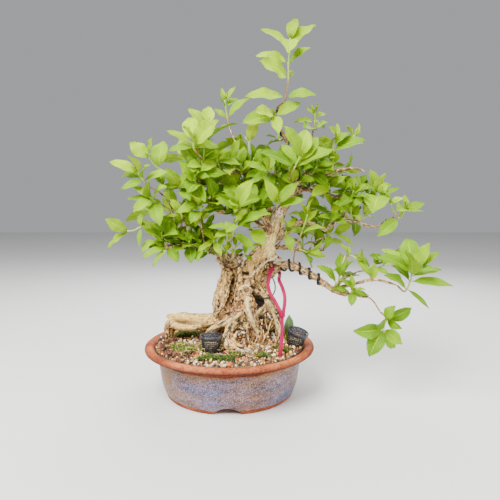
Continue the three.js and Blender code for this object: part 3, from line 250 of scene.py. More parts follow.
# A round skin along a line, closed at both ends by small domes.
def tubeRings(centres, normals, binormals, radii, around):
    angles = np.arange(around) / around * 2 * math.pi
    spokes = normals[:, None] * np.cos(angles)[:, None] + binormals[:, None] * np.sin(angles)[:, None]
    radii = np.broadcast_to(np.asarray(radii, float).reshape(len(centres), -1), (len(centres), around))
    rings = centres[:, None] + spokes * radii[..., None]
    forward = unit(np.cross(normals, binormals))
    first = centres[0] - forward[0] * radii[0].mean() * 0.3
    last = centres[-1] + forward[-1] * radii[-1].mean() * 0.3
    lip = [first + 0.55 * (rings[0] - first) - forward[0] * radii[0].mean() * 0.05,
           last + 0.55 * (rings[-1] - last) + forward[-1] * radii[-1].mean() * 0.05]
    return np.concatenate([np.tile(first, (1, around, 1)), lip[0][None], rings, lip[1][None],
                           np.tile(last, (1, around, 1))])


def withEnds(values):  # values for a tube's rings, carried on over the two rings of each dome
    return np.concatenate([values[:1], values[:1], values, values[-1:], values[-1:]])


# A profile of (radius, height) in mm, turned round the upright axis
def addTurned(bm, profile, steps, closed=False):
    corners = [bm.verts.new((r / 1000, 0, z / 1000)) for r, z in profile]
    edges = [bm.edges.new(pair) for pair in zip(corners, corners[1:] + corners[:closed])]
    bmesh.ops.spin(bm, geom=corners + edges, cent=(0, 0, 0), axis=(0, 0, 1), angle=2 * math.pi,
                   steps=steps, use_merge=True)


def closeSeams(bm):
    bmesh.ops.remove_doubles(bm, verts=bm.verts, dist=1e-6)


def closeTurned(bm):
    closeSeams(bm)
    bmesh.ops.recalc_face_normals(bm, faces=bm.faces)


def treeOf(points):
    tree = KDTree(len(points))
    for k, point in enumerate(points):
        tree.insert(point, k)
    tree.balance()
    return tree


def finishPiece(name, bm, materials, nodes=(), smooth=True, crease=None):
    mesh = meshOf(bm, name)
    if smooth:
        mesh.shade_smooth()
    if crease:
        mesh.set_sharp_from_angle(angle=math.radians(crease))
    for made in materials:
        mesh.materials.append(made)
    piece = addObject(name, mesh)
    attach(piece, "root")
    if nodes:
        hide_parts(*nodes)
    print("made", name, len(mesh.polygons))


def noiseAt(points, scale, seed=0.0, octaves=3):  # scale in mm, one value for each point
    shift = Vector((seed * 17.3, seed * 5.1, seed * 9.7))
    return np.array([noise.fractal(Vector(p) / scale + shift, 0.9, 2.1, octaves) for p in points])


# Camera, floor and lights

view = {"place": (25.4, -601.6, 237.8), "pitchDown": 5.83, "focalPixels": 490, "imagePixels": 500,
        "sensor": 36, "floor": 3.0, "floorGap": 0.0004, "floorColour": "#d9d9d7", "aim": (40, 0, 200),
        "sky": "#eef0f2", "skyStrength": 0.46}
cameraData = bpy.data.cameras.new("camera")
cameraData.sensor_width = view["sensor"]
cameraData.lens = view["sensor"] * view["focalPixels"] / view["imagePixels"]
cameraData.clip_start = 0.01
camera = addObject("camera", cameraData)
camera.location = toFrame(view["place"])
camera.rotation_euler = (math.radians(90 - view["pitchDown"]), 0, 0)
bpy.context.scene.camera = camera

bm = bmesh.new()
bmesh.ops.create_grid(bm, x_segments=1, y_segments=1, size=view["floor"])
floor = addObject("floor", meshOf(bm, "floor"))
floor.data.materials.append(startMaterial("matt floor paint", 0.85, **{"Base Color": view["floorColour"]})[0])
floor.location.z = -view["floorGap"]

lights = {  # place in mm, size in m, watts
    "key": ((-560, -760, 1250), 1.0, 70),
    "fill": ((620, -460, 420), 1.1, 8.5),
    "back": ((150, 640, 760), 1.0, 14),
}
for name, (place, size, watts) in lights.items():
    lamp = bpy.data.lights.new(name, "AREA")
    lamp.shape = "DISK"
    lamp.size = size
    lamp.energy = watts
    thing = addObject(name, lamp)
    thing.location = toFrame(place)
    aim = Vector(toFrame(view["aim"])) - thing.location
    thing.rotation_euler = aim.to_track_quat("-Z", "Y").to_euler()
world = bpy.data.worlds.new("studio")
bpy.context.scene.world = world
world.use_nodes = True
sky = world.node_tree.nodes["Background"].inputs
sky["Color"].default_value, sky["Strength"].default_value = linear(view["sky"]), view["skyStrength"]
print("camera and lights placed")


# Pot: unglazed lip and collar, a speckled body glaze that stops short of the foot, arched foot ring

pot = {"ochreRun": (-80, -42, 44), "steps": 168, "arches": (-90, 30, 150), "archWidth": 31,
       "archHeight": 6.8, "archReach": 14, "footRing": (68, 85),
       "lump": 0.22, "lumpScale": 34, "lumpsFrom": 76,
       "profile": [(9, 6), (40, 6), (66, 6), (69.6, 5.6), (70.4, 3), (70.8, 0.6), (71.6, 0), (75, 0),
                   (78, 0), (79, 0.7), (79.8, 3), (82, 8.5), (83.9, 14), (85.2, 20), (86, 26), (87, 33),
                   (87.9, 39), (88.7, 44), (90, 48), (92, 50.7), (96, 52), (100, 53), (102.8, 54),
                   (104.3, 55.3), (105, 57.2), (104.4, 59), (102.6, 60.3), (99.5, 60.9), (96.4, 60.3),
                   (94.2, 59), (93, 57.4), (89, 52.5), (82, 45), (79.5, 34), (77.5, 23), (76, 15),
                   (73, 12.6), (66, 12), (40, 12), (9, 12)]}


def archAt(angle, radius):  # height of the foot's arch above a place on the ring, in mm
    most = 0
    for middle in pot["arches"]:
        across = radius * np.sin(angle - math.radians(middle))
        share = np.abs(across) / (pot["archWidth"] / 2)
        inside = (share < 1) & (np.cos(angle - math.radians(middle)) > 0)
        most = np.maximum(most, np.where(inside, np.cos(np.clip(share, 0, 1) * math.pi / 2) ** 0.62, 0))
    return most * pot["archHeight"]


def potPiece():
    bm = bmesh.new()
    addTurned(bm, pot["profile"], pot["steps"], closed=True)
    closeTurned(bm)
    for vert in bm.verts:
        x, y, z = vert.co * 1000
        radius, angle = math.hypot(x, y), math.atan2(y, x)
        if z < pot["archReach"] and pot["footRing"][0] < radius < pot["footRing"][1]:
            lift = float(archAt(np.array(angle), radius))
            z = max(z, lift + z * (1 - lift / pot["archReach"]))
        lump = pot["lump"] if radius > pot["lumpsFrom"] else 0
        outwards = 1 + lump * noise.noise(Vector((x, y, z)) / pot["lumpScale"]) / max(radius, 1)
        vert.co = Vector(np.clip(toFrame((x * outwards, y * outwards, z)), potLow, potHigh))
    return bm


def terracottaGlaze():
    # Stoneware clay, thrown: the lip is bare and orange-brown, the body wears a thin mottled glaze, blue-grey
    # with rust and cream specks, that breaks to ochre where it runs thin.
    made, add, here = startMaterial("unglazed clay and speckled glaze", 0.6, **{"Specular IOR Level": 0.3})
    height = add("SeparateXYZ", here, out="Z")
    ragged = add("TexNoise", here, 55, 6, 0.65)
    edge = add("MapRange", ragged, 0, 1, -0.0032, 0.0032)
    level = add("Math", height, edge, operation="ADD")
    above = add("MapRange", level, 0.0042, 0.0048, 0, 1)
    below = add("MapRange", level, 0.0464, 0.0474, 1, 0)
    radial = add("Mapping", here, Location=tuple(-potMiddle))
    flat = add("VectorMath", radial, (1, 1, 0), operation="MULTIPLY")
    away = add("VectorMath", flat, operation="LENGTH")
    # the outer wall alone is glazed: its radius runs from 79 mm at the foot to 91 mm under the collar
    wall = add("MapRange", height, 0, 0.05, 0.0775, 0.0888)
    outside = add("Math", away, wall, operation="GREATER_THAN")
    band = add("Math", above, below, operation="MULTIPLY")
    glazed = add("Math", band, outside, operation="MULTIPLY")

    cloud = add("TexNoise", here, 22, 5, 0.6)
    clay = add("ValToRGB", cloud, stops=[(0.36, "#7c3a1c"), (0.48, "#a85a30"), (0.62, "#c87c4c")])
    grit = add("TexNoise", here, 900, 3, 0.7)
    grog = add("ValToRGB", grit, stops=[(0.34, "#7c4a2c"), (0.47, "#ffffff"), (1, "#ffffff")])
    coarse = add("TexNoise", here, 420, 3, 0.6)
    blush = add("ValToRGB", coarse, stops=[(0.38, "#b8906c"), (0.5, "#ffffff"), (0.64, "#fff4f4")])
    blushed = add("Mix", 0.8, clay, blush, **multiplied)
    gritty = add("Mix", 0.85, blushed, grog, **multiplied)
    # the rusty collar, then painted shade: a dark line under the lip's edge that fades out up the lip's outer
    # curve to its top
    rise = add("MapRange", height, 0.021, 0.061)
    collar = add("ValToRGB", rise, stops=[
        (0.3, "#fffaff"), (0.6, "#a87454"), (0.8, "#986648"), (0.84, "#503422"), (0.89, "#c4b0a2"),
        (0.95, "#e6dcd2"), (0.99, "#fffaf4")])
    bare = add("Mix", 1, gritty, collar, **multiplied)
    rings = add("Mapping", here, Scale=(1, 1, 2.6))
    mottle = add("TexNoise", rings, 34, 9, 0.76)
    broad = add("TexNoise", rings, 11, 3, 0.55)
    hue = add("ValToRGB", broad, stops=[
        (0.36, "#9a7058"), (0.45, "#967e88"), (0.53, "#847a94"), (0.62, "#69739a")])
    shade = add("ValToRGB", mottle, stops=[
        (0.34, "#6a5e5c"), (0.5, "#d8d0d0"), (0.62, "#ffffff"), (0.7, "#d49a68")])
    glaze = add("Mix", 1, hue, shade, **multiplied)
    far = add("VectorMath", here, tuple(toFrame(pot["ochreRun"])), operation="DISTANCE")
    near = add("MapRange", far, 0.036, 0.014, 0, 0.6)
    seam = add("MapRange", level, 0.04, 0.0465, 0, 0.4)
    thin = add("Math", near, seam, operation="MAXIMUM")
    worn = add("Math", thin, mottle, operation="ADD")
    ochre = add("MapRange", worn, 0.72, 0.86, 0, 0.9)
    speck = add("TexVoronoi", here, 760, feature="F1")
    dots = add("MapRange", speck, 0.2, 0.3, 0.8, 0)
    fewer = add("MapRange", ochre, 0, 1, 1, 0.1)
    cream = add("Math", dots, fewer, operation="MULTIPLY")
    run = add("Mix", ochre, glaze, "#845400", **mixed)
    belt = add("Math", level, 0.021, operation="SUBTRACT")
    beside = add("Math", belt, operation="ABSOLUTE")
    rusty = add("MapRange", beside, 0, 0.005, 0.5, 0)
    banded = add("Mix", rusty, run, "#8a5c34", **mixed)
    light = add("Mix", cream, banded, "#e0ccc0", **mixed)
    spot = add("TexNoise", here, 520, 4, 0.75)
    rust = add("MapRange", spot, 0.52, 0.58, 0, 0.9)
    coat = add("Mix", rust, light, "#443028", **mixed)
    colour = add("Mix", glazed, bare, coat, **mixed)
    shine = add("MapRange", glazed, 0, 1, 0.78, 0.42)
    tooth = add("Bump", Strength=0.5, Distance=0.0004, Height=grit)
    lift = add("Bump", Strength=0.8, Distance=0.0005, Height=glazed, Normal=tooth)
    return closeMaterial(made, colour, Roughness=shine, Normal=lift)


finishPiece("pot_thrown", potPiece(), [terracottaGlaze()], ["pot"])


# Soil: the filled body with a rough top, then loose grains, moss and litter on it

soil = {"edge": 58.6, "moundHeight": 10, "moundSpread": 52, "moundX": 18, "rimInner": 93.4, "steps": 120,
        "rings": 34, "rough": 0.9, "grains": 3300, "grainRadius": (0.7, 2.7), "reach": 90, "seed": 71,
        "grainRough": 0.22, "toneSpread": (0.5, 1.7), "warmth": (1.15, 1, 0.94), "brightest": 0.95,
        "profile": [(0, 14.1), (16.6, 14.1), (16.6, 12.4), (60, 12.4), (75.2, 14.8), (78.6, 30), (81.2, 45),
                    (88, 53), (92.3, 58.2)],
        "flat": 70}  # the height of its rings until soilTop shapes them


def soilTop(x, y):
    away = np.hypot(x - soil["moundX"], y)
    mound = soil["moundHeight"] * np.exp(-((away / soil["moundSpread"]) ** 2))
    edge = np.minimum(1, (soil["rimInner"] - np.hypot(x, y)) / 20)
    return soil["edge"] + mound + 1.3 * edge * np.sin(x / 6.5 + 1) * np.cos(y / 8 - 0.5)


def soilPiece():
    bm = bmesh.new()
    reach, rings, flat = soil["profile"][-1][0], soil["rings"], soil["flat"]
    top = [(reach * (1 - i / rings), flat) for i in range(1, rings)]
    addTurned(bm, [*soil["profile"], *top, (0, flat)], soil["steps"])
    closeTurned(bm)
    for vert in bm.verts:
        x, y, z = vert.co * 1000
        if z > flat - 1:
            z = soilTop(x, y) - 0.6 + soil["rough"] * noise.fractal(Vector((x, y, 3)) / 4, 0.8, 2.1, 3)
        vert.co = Vector(toFrame((x, y, z)))
    return bm


def soilGrit():
    # A free-draining mix of fired clay, pumice and lava, sifted to 2 to 4 mm: matt, dusty, many-coloured.
    made, add, here = startMaterial("damp akadama, pumice and lava grit", 0.95)
    cells = add("TexVoronoi", here, 420, feature="F1")
    hue = add("SeparateColor", cells.node.outputs["Color"])
    colour = add("ValToRGB", hue, stops=[
        (0, "#4b3d30"), (0.3, "#6d5436"), (0.5, "#8b6a42"), (0.75, "#8f7d5e"), (0.9, "#6d3d2c"),
        (1, "#403f3c")])
    gap = add("ValToRGB", cells, stops=[(0, "#ffffff"), (1, "#2e2820")])
    shade = add("Mix", 0.85, colour, gap, **multiplied)
    relief = add("Bump", Strength=1, Distance=0.0015, Height=cells, invert=True)
    return closeMaterial(made, shade, Normal=relief)


def grainStone():
    # Loose stones of the same mix. Each has its own colour; pores about 0.4 mm across pit it.
    made, add, here = startMaterial("loose pumice and lava grains", 0.9)
    own = add("Attribute", attribute_name="tone")
    pores = add("TexVoronoi", here, 1500, feature="F1")
    pits = add("ValToRGB", pores, stops=[(0.1, "#8a8078"), (0.4, "#ffffff")])
    dust = add("TexNoise", here, 260, 4, 0.7)
    dusty = add("ValToRGB", dust, stops=[(0.35, "#b4a89c"), (0.5, "#ffffff")])
    pitted = add("Mix", 0.8, own, pits, **multiplied)
    colour = add("Mix", 0.7, pitted, dusty, **multiplied)
    relief = add("Bump", Strength=0.7, Distance=0.0003, Height=pores)
    return closeMaterial(made, colour, Normal=relief)


def spunTurn(rng):
    return np.array(Euler([rng.uniform(0, 2 * math.pi) for _ in range(3)]).to_matrix())


finishPiece("soil_bed", soilPiece(), [soilGrit()], ["soil"])

grainColours = {"#f4e0b0": 16, "#dcb878": 15, "#c48c48": 18, "#84521f": 14, "#ac5a38": 8,  # and their shares
                "#7a3420": 5, "#242529": 10, "#3c2e1e": 14, "#fff6e4": 9, "#e0bc30": 3}
# flakes of bark and dead leaf, drifted against the rim at the left
litter = {"flakes": 260, "angle": (198, 22), "reach": (66, 90), "radius": (1.4, 3.2),
          "colours": ["#7a4c34", "#94603e", "#5a3826", "#a87c58", "#3c2a1e"]}
ball = bmesh.new()
bmesh.ops.create_icosphere(ball, subdivisions=1, radius=1)
pebble = meshOf(ball)
stone = vectorsOf(pebble)


def addStone(bm, rng, place, radius, tone=None, flat=(0.55, 0.85)):
    size = radius * np.array([1, rng.uniform(0.7, 1), rng.uniform(*flat)])
    rough = 1 + soil["grainRough"] * np.array([rng.uniform(-1, 1) for _ in stone])[:, None]
    points = (stone * rough * size) @ spunTurn(rng).T + place
    if tone is None:
        code = rng.choices(list(grainColours), grainColours.values())[0]
        tone = np.array(linear(code)[:3]) * rng.uniform(*soil["toneSpread"])
        tone = np.minimum(soil["brightest"], tone * soil["warmth"])
    addCopy(bm, pebble, points, tone=tone)


def grainsPiece():
    rng = random.Random(soil["seed"])
    bm = bmesh.new()
    small, large = soil["grainRadius"]
    for _ in range(soil["grains"]):
        angle, reach = rng.uniform(0, 2 * math.pi), 91.2 * math.sqrt(rng.random())
        x, y = reach * math.cos(angle), reach * math.sin(angle)
        radius = small + (large - small) * rng.random() ** 2.2
        addStone(bm, rng, (x, y, soilTop(x, y) + radius * rng.uniform(-0.1, 0.5)), radius)
    for _ in range(litter["flakes"]):
        angle, reach = math.radians(rng.gauss(*litter["angle"])), rng.uniform(*litter["reach"])
        x, y = reach * math.cos(angle), reach * math.sin(angle)
        if math.hypot(x, y) > soil["reach"]:
            continue
        tone = np.array(linear(rng.choice(litter["colours"]))[:3]) * rng.uniform(0.6, 1.2)
        radius = rng.uniform(*litter["radius"])
        addStone(bm, rng, (x, y, soilTop(x, y) + rng.uniform(0.5, 3)), radius, tone, (0.12, 0.25))
    return bm


grainMatter = grainStone()
finishPiece("soil_grains", grainsPiece(), [grainMatter], smooth=False)

# Moss cushions on the mound: middle x, y, reach in x and y, thickness, share of yellow shoots
moss = {"patches": [(-48, -38, 21, 11, 3.4, 0.4), (-62, -22, 14, 10, 3, 0.5), (-30, -22, 15, 10, 2.8, 0.45),
                    (-22, -66, 14, 7, 2.6, 0.2), (-3, -69, 15, 6, 2.4, 0.15), (10, -57, 9, 6, 2, 0.4),
                    (62, -36, 10, 7, 2.2, 0.3), (40, -60, 9, 5, 1.8, 0.4), (-55, 32, 20, 14, 2.8, 0.4),
                    (8, 62, 22, 12, 2.8, 0.3), (62, 40, 16, 14, 2.6, 0.4)],
        "blades": 5, "bladeLength": (1.8, 4.2), "bladeRadius": 0.46, "pace": 0.8, "seed": 5,
        "fresh": ["#80940e", "#648410", "#a89438"], "old": ["#3c580c", "#283c08", "#547410"]}


def mossCarpet():
    # Cushion moss: short green stalks so close that the eye sees a velvet of dark gaps and lit tips.
    made, add, here = startMaterial("cushion moss", 0.8)
    own = add("Attribute", attribute_name="tone")
    patchy = add("TexNoise", here, 300, 4)
    shade = add("ValToRGB", patchy, stops=[(0.3, "#8c8c70"), (0.6, "#ffffff")])
    colour = add("Mix", 0.8, own, shade, **multiplied)
    relief = add("Bump", Strength=0.6, Distance=0.0004, Height=patchy)
    return closeMaterial(made, colour, Normal=relief)


def mossPiece():
    rng = random.Random(moss["seed"])
    bm = bmesh.new()
    cone = bmesh.new()
    bmesh.ops.create_cone(cone, cap_ends=True, segments=4, radius1=1, radius2=0.12, depth=1)
    bmesh.ops.translate(cone, verts=cone.verts, vec=(0, 0, 0.5))
    template = meshOf(cone)
    blade = vectorsOf(template)
    for x0, y0, reachX, reachY, height, yellow in moss["patches"]:
        for _ in range(int(reachX * reachY / moss["pace"])):
            angle, out = rng.uniform(0, 2 * math.pi), math.sqrt(rng.random())
            ragged = 1 + 0.25 * noise.noise(Vector((x0 + 3 * math.cos(angle), y0 + 3 * math.sin(angle), 0)))
            x = x0 + reachX * out * ragged * math.cos(angle)
            y = y0 + reachY * out * ragged * math.sin(angle)
            if math.hypot(x, y) > soil["reach"]:
                continue
            rise = soilTop(x, y) + height * max(0, 1 - out**2) * 0.8 + 0.3
            codes = moss["fresh"] if rng.random() < yellow else moss["old"]
            for _ in range(moss["blades"]):
                length = rng.uniform(*moss["bladeLength"])
                lean = Euler((rng.gauss(0, 0.55), rng.gauss(0, 0.55), rng.uniform(0, 6))).to_matrix()
                thick = moss["bladeRadius"] * rng.uniform(0.8, 1.5)
                points = (blade * (thick, thick, length)) @ np.array(lean).T
                points += (x + rng.gauss(0, 0.7), y + rng.gauss(0, 0.7), rise)
                tone = np.array(linear(rng.choice(codes))[:3]) * rng.uniform(0.7, 1.2)
                addCopy(bm, template, points, tone=tone)
    return bm


finishPiece("moss_cushions", mossPiece(), [mossCarpet()])
print("soil, grains and moss done")


def mouldedPlastic(name, roughness, grain, dull="#2c2c30", dusty="#5c5a56"):
    # Injection-moulded polypropylene: near black, a fine satin tooth; its palest specks are partly dust and
    # partly painted highlights.
    made, add, here = startMaterial(name, roughness)
    dust = add("TexNoise", here, 160, 5, 0.7)
    colour = add("ValToRGB", dust, stops=[(0.35, "#17171a"), (0.55, dull), (0.75, dusty)])
    fine = add("TexNoise", here, grain, 2)
    tooth = add("Bump", Strength=0.25, Distance=0.0001, Height=fine)
    return closeMaterial(made, colour, Normal=tooth)


blackPlastic = mouldedPlastic("moulded black polypropylene", 0.5, 2600)
# the lids: paler greys, painted highlights on their bars
greyedPlastic = mouldedPlastic("black polypropylene with painted grey highlights", 0.5, 1500, "#37373d", "#68666a")
# the drainage mesh over the hole is the solid itself
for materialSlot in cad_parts["drain_net"].material_slots:
    materialSlot.material = blackPlastic

# Fertiliser baskets: a lattice cup on a spike, a net lid, and the cake inside
basket = {"topRadius": 11.8, "footRadius": 9.8, "height": 17.5, "wall": 0.9, "columns": 26, "rows": 6,
          "bar": 0.42, "lidRadius": 13.1, "lidHeight": 2.6, "netBar": 0.36,
          "net": [(7, (1.0, 4.4)), (14, (4.2, 8.2, 12.3))], "dome": 1.2, "spikeRadius": 2.1, "spikeLength": 9,
          "rim": [(-1.1, 0), (-0.2, 0), (0, 0.3), (0, 2.1), (-0.3, 2.6), (-0.9, 2.75), (-1.4, 2.5),
                  (-1.4, 0.5)],
          "places": {"front": ((-20, -44, 61), 0, 0), "right": ((79, -17, 60.4), 9, 15)}}


def basketPlace(name):
    foot, turnX, turnY = basket["places"][name]
    turned = Euler((math.radians(turnX), math.radians(turnY), 0)).to_matrix().to_4x4()
    return Matrix.Translation(Vector(toFrame(foot))) @ turned


def cupPiece(name):
    bm = bmesh.new()
    high = basket["height"] / 1000
    bmesh.ops.create_cone(bm, cap_ends=False, segments=basket["columns"], radius1=basket["footRadius"] / 1000,
                          radius2=basket["topRadius"] / 1000, depth=high)
    bmesh.ops.translate(bm, verts=bm.verts, vec=(0, 0, high / 2))
    levels = [0.08] + [0.08 + 0.8 * i / basket["rows"] for i in range(1, basket["rows"] + 1)]
    for level in levels:
        bmesh.ops.bisect_plane(bm, geom=bm.verts[:] + bm.edges[:] + bm.faces[:], dist=1e-7,
                               plane_co=(0, 0, level * high), plane_no=(0, 0, 1))
    cells = [f for f in bm.faces if levels[0] * high < f.calc_center_median().z < levels[-1] * high]
    bmesh.ops.inset_individual(bm, faces=cells, thickness=basket["bar"] / 1000, depth=0)
    bmesh.ops.delete(bm, geom=cells, context="FACES")
    bottom = [e for e in bm.edges if e.is_boundary and all(v.co.z < 1e-6 for v in e.verts)]
    bmesh.ops.holes_fill(bm, edges=bottom, sides=0)
    bmesh.ops.recalc_face_normals(bm, faces=bm.faces)
    bmesh.ops.solidify(bm, geom=bm.faces[:], thickness=basket["wall"] / 1000)
    spike = bmesh.ops.create_cone(bm, cap_ends=True, segments=12, radius1=0.0002,
                                  radius2=basket["spikeRadius"] / 1000, depth=basket["spikeLength"] / 1000)
    bmesh.ops.translate(bm, verts=spike["verts"], vec=(0, 0, -basket["spikeLength"] / 2000 + 0.0003))
    bmesh.ops.transform(bm, matrix=basketPlace(name), verts=bm.verts)
    return bm


# A net lid: a flanged ring, a domed net of small bars and a smooth edge
def lidPiece(name):
    bm = bmesh.new()
    wide = basket["lidRadius"]
    for steps, radii in basket["net"]:
        before = set(bm.faces)
        addTurned(bm, [(r, basket["dome"] * (1 - (r / wide) ** 2)) for r in radii], steps)
        cells = [face for face in bm.faces if face not in before]
        bmesh.ops.inset_individual(bm, faces=cells, thickness=basket["netBar"] / 1000, depth=0)
        bmesh.ops.delete(bm, geom=cells, context="FACES")
    bmesh.ops.recalc_face_normals(bm, faces=bm.faces)
    bmesh.ops.solidify(bm, geom=bm.faces[:], thickness=basket["wall"] / 1000)
    bmesh.ops.translate(bm, verts=bm.verts, vec=(0, 0, basket["lidHeight"] / 1000 - 0.0003))
    addTurned(bm, [(wide + r, z) for r, z in basket["rim"]], 48, closed=True)
    closeTurned(bm)
    seat = Matrix.Translation((0, 0, (basket["height"] + 0.3) / 1000))
    bmesh.ops.transform(bm, matrix=basketPlace(name) @ seat, verts=bm.verts)
    return bm


def cakePiece(name):
    bm = bmesh.new()
    bmesh.ops.create_icosphere(bm, subdivisions=4, radius=1)
    for vert in bm.verts:
        lump = 1 + cake["lumps"] * noise.fractal(vert.co * 2.2 + Vector((4, 0, len(name))), 0.7, 2.1, 4)
        x, y, z = vert.co
        place = Vector((cake["wide"] * x, cake["wide"] * y, cake["high"] * z + cake["middle"]))
        vert.co = place * lump / 1000
    bmesh.ops.transform(bm, matrix=basketPlace(name), verts=bm.verts)
    return bm


def pressedCake():
    # Pressed rapeseed and bone meal: a crumbly pale brown cake with darker husks, quite dull.
    made, add, here = startMaterial("pressed rapeseed cake", 0.95)
    crumb = add("TexNoise", here, 500, 6, 0.75)
    colour = add("ValToRGB", crumb, stops=[(0.36, "#3a2e1c"), (0.47, "#8c7648"), (0.6, "#fff0c4")])
    relief = add("Bump", Strength=0.9, Distance=0.0006, Height=crumb)
    return closeMaterial(made, colour, Normal=relief)


cakeCrumb = pressedCake()
cake = {"wide": 8, "high": 6.8, "middle": 8.5, "lumps": 0.07}
for name in basket["places"]:
    finishPiece(f"basket_cup_{name}", cupPiece(name), [blackPlastic],
                [f"fertiliser_basket_{name}"], smooth=False)
    finishPiece(f"basket_net_lid_{name}", lidPiece(name), [greyedPlastic],
                [f"basket_lid_{name}"], crease=40)
    finishPiece(f"fertiliser_cake_{name}_lump", cakePiece(name), [cakeCrumb],
                [f"fertiliser_cake_{name}"])
print("baskets done")


# Limbs, by their rows of [x, y, z, radius] from the root end out. A thick one also has the number of
# sections of its solid and the lobes of its section.
thickLimbs = {
    "trunk": (9, 0.09, [[20, -5, 50, 23], [21, -6, 78, 22], [22, -6, 100, 20.5], [23, -4, 127, 18],
        [28, -2, 149, 15.5], [35, 0, 164, 12.5], [44, 0, 179, 9.5], [52, 0, 196, 8], [57, 0, 211, 8.4],
        [61, 0, 227, 8]]),
    "stump": (5, 0.1, [[-5, -2, 50, 18], [-4, -3, 87, 18], [-4, -4, 115, 16.5], [-1, -2, 137, 13.5],
        [2, 0, 152, 10], [4, 0, 161, 5]]),
    "leftRoot": (7, 0.1, [[4, -4, 94, 13], [-26, 0, 87, 11], [-50, 4, 85, 10.4], [-66, 7, 84.5, 9.4],
        [-76, 9, 77, 7.4], [-78, 10, 67, 5.8], [-78, 10, 53, 4.4]]),
    "frontRoot": (5, 0.08, [[22, -14, 108, 7], [4, -20, 96, 5.4], [-13, -20, 86, 4.8], [-24, -20, 77, 4.2],
        [-32, -19, 55, 3]]),
    "midRoot": (5, 0.08, [[22, -16, 130, 7], [24, -24, 113, 5.8], [28, -25, 97, 5], [34, -24, 80, 4],
        [38, -23, 54, 2.6]]),
    "rightLeg": (5, 0.08, [[36, -5, 134, 9], [46, -8, 115, 7.6], [54, -10, 101, 6.8], [61, -10, 84, 6],
        [66, -10, 52, 4.5]]),
    "innerRoot": (3, 0, [[50, -9, 112, 4], [41, -17, 102, 3.4], [32, -21, 92, 3.4]]),
    "curlRoot": (6, 0.1, [[6, -24, 92, 5], [0.5, -31, 85, 5], [-0.6, -38, 77.5, 4.8], [3, -44, 70.5, 4.8],
        [11, -47, 67.5, 4.6], [22, -48, 64, 4], [30, -49, 55, 3]]),
    "thinRoot1": (3, 0, [[44, -12, 108, 2.4], [45, -19, 88, 2], [48, -22, 54, 1.5]]),
    "thinRoot2": (3, 0, [[30, -22, 102, 2.2], [44, -25, 82, 2.2], [56, -27, 54, 1.8]]),
    "thinRoot3": (3, 0, [[24, -24, 88, 2.2], [21, -33, 76, 1.9], [20, -38, 54, 1.5]]),
    "thinRoot4": (3, 0, [[35, -22, 84, 2], [29, -31, 74, 1.7], [27, -38, 54, 1.4]]),
    "backRoot1": (4, 0.08, [[10, 8, 100, 8], [2, 24, 86, 6.4], [-10, 38, 74, 5], [-18, 46, 50, 3.5]]),
    "backRoot2": (4, 0.08, [[32, 8, 104, 8], [42, 24, 88, 6], [52, 36, 74, 4.6], [58, 42, 50, 3.2]]),
    "backRoot3": (3, 0.08, [[-10, 6, 88, 8], [-30, 20, 76, 5.4], [-44, 30, 50, 3.4]]),
    "knob": (2, 0.1, [[14, -8, 146, 7], [14, -14, 152, 5.4], [14, -17, 157, 3.4]]),
}
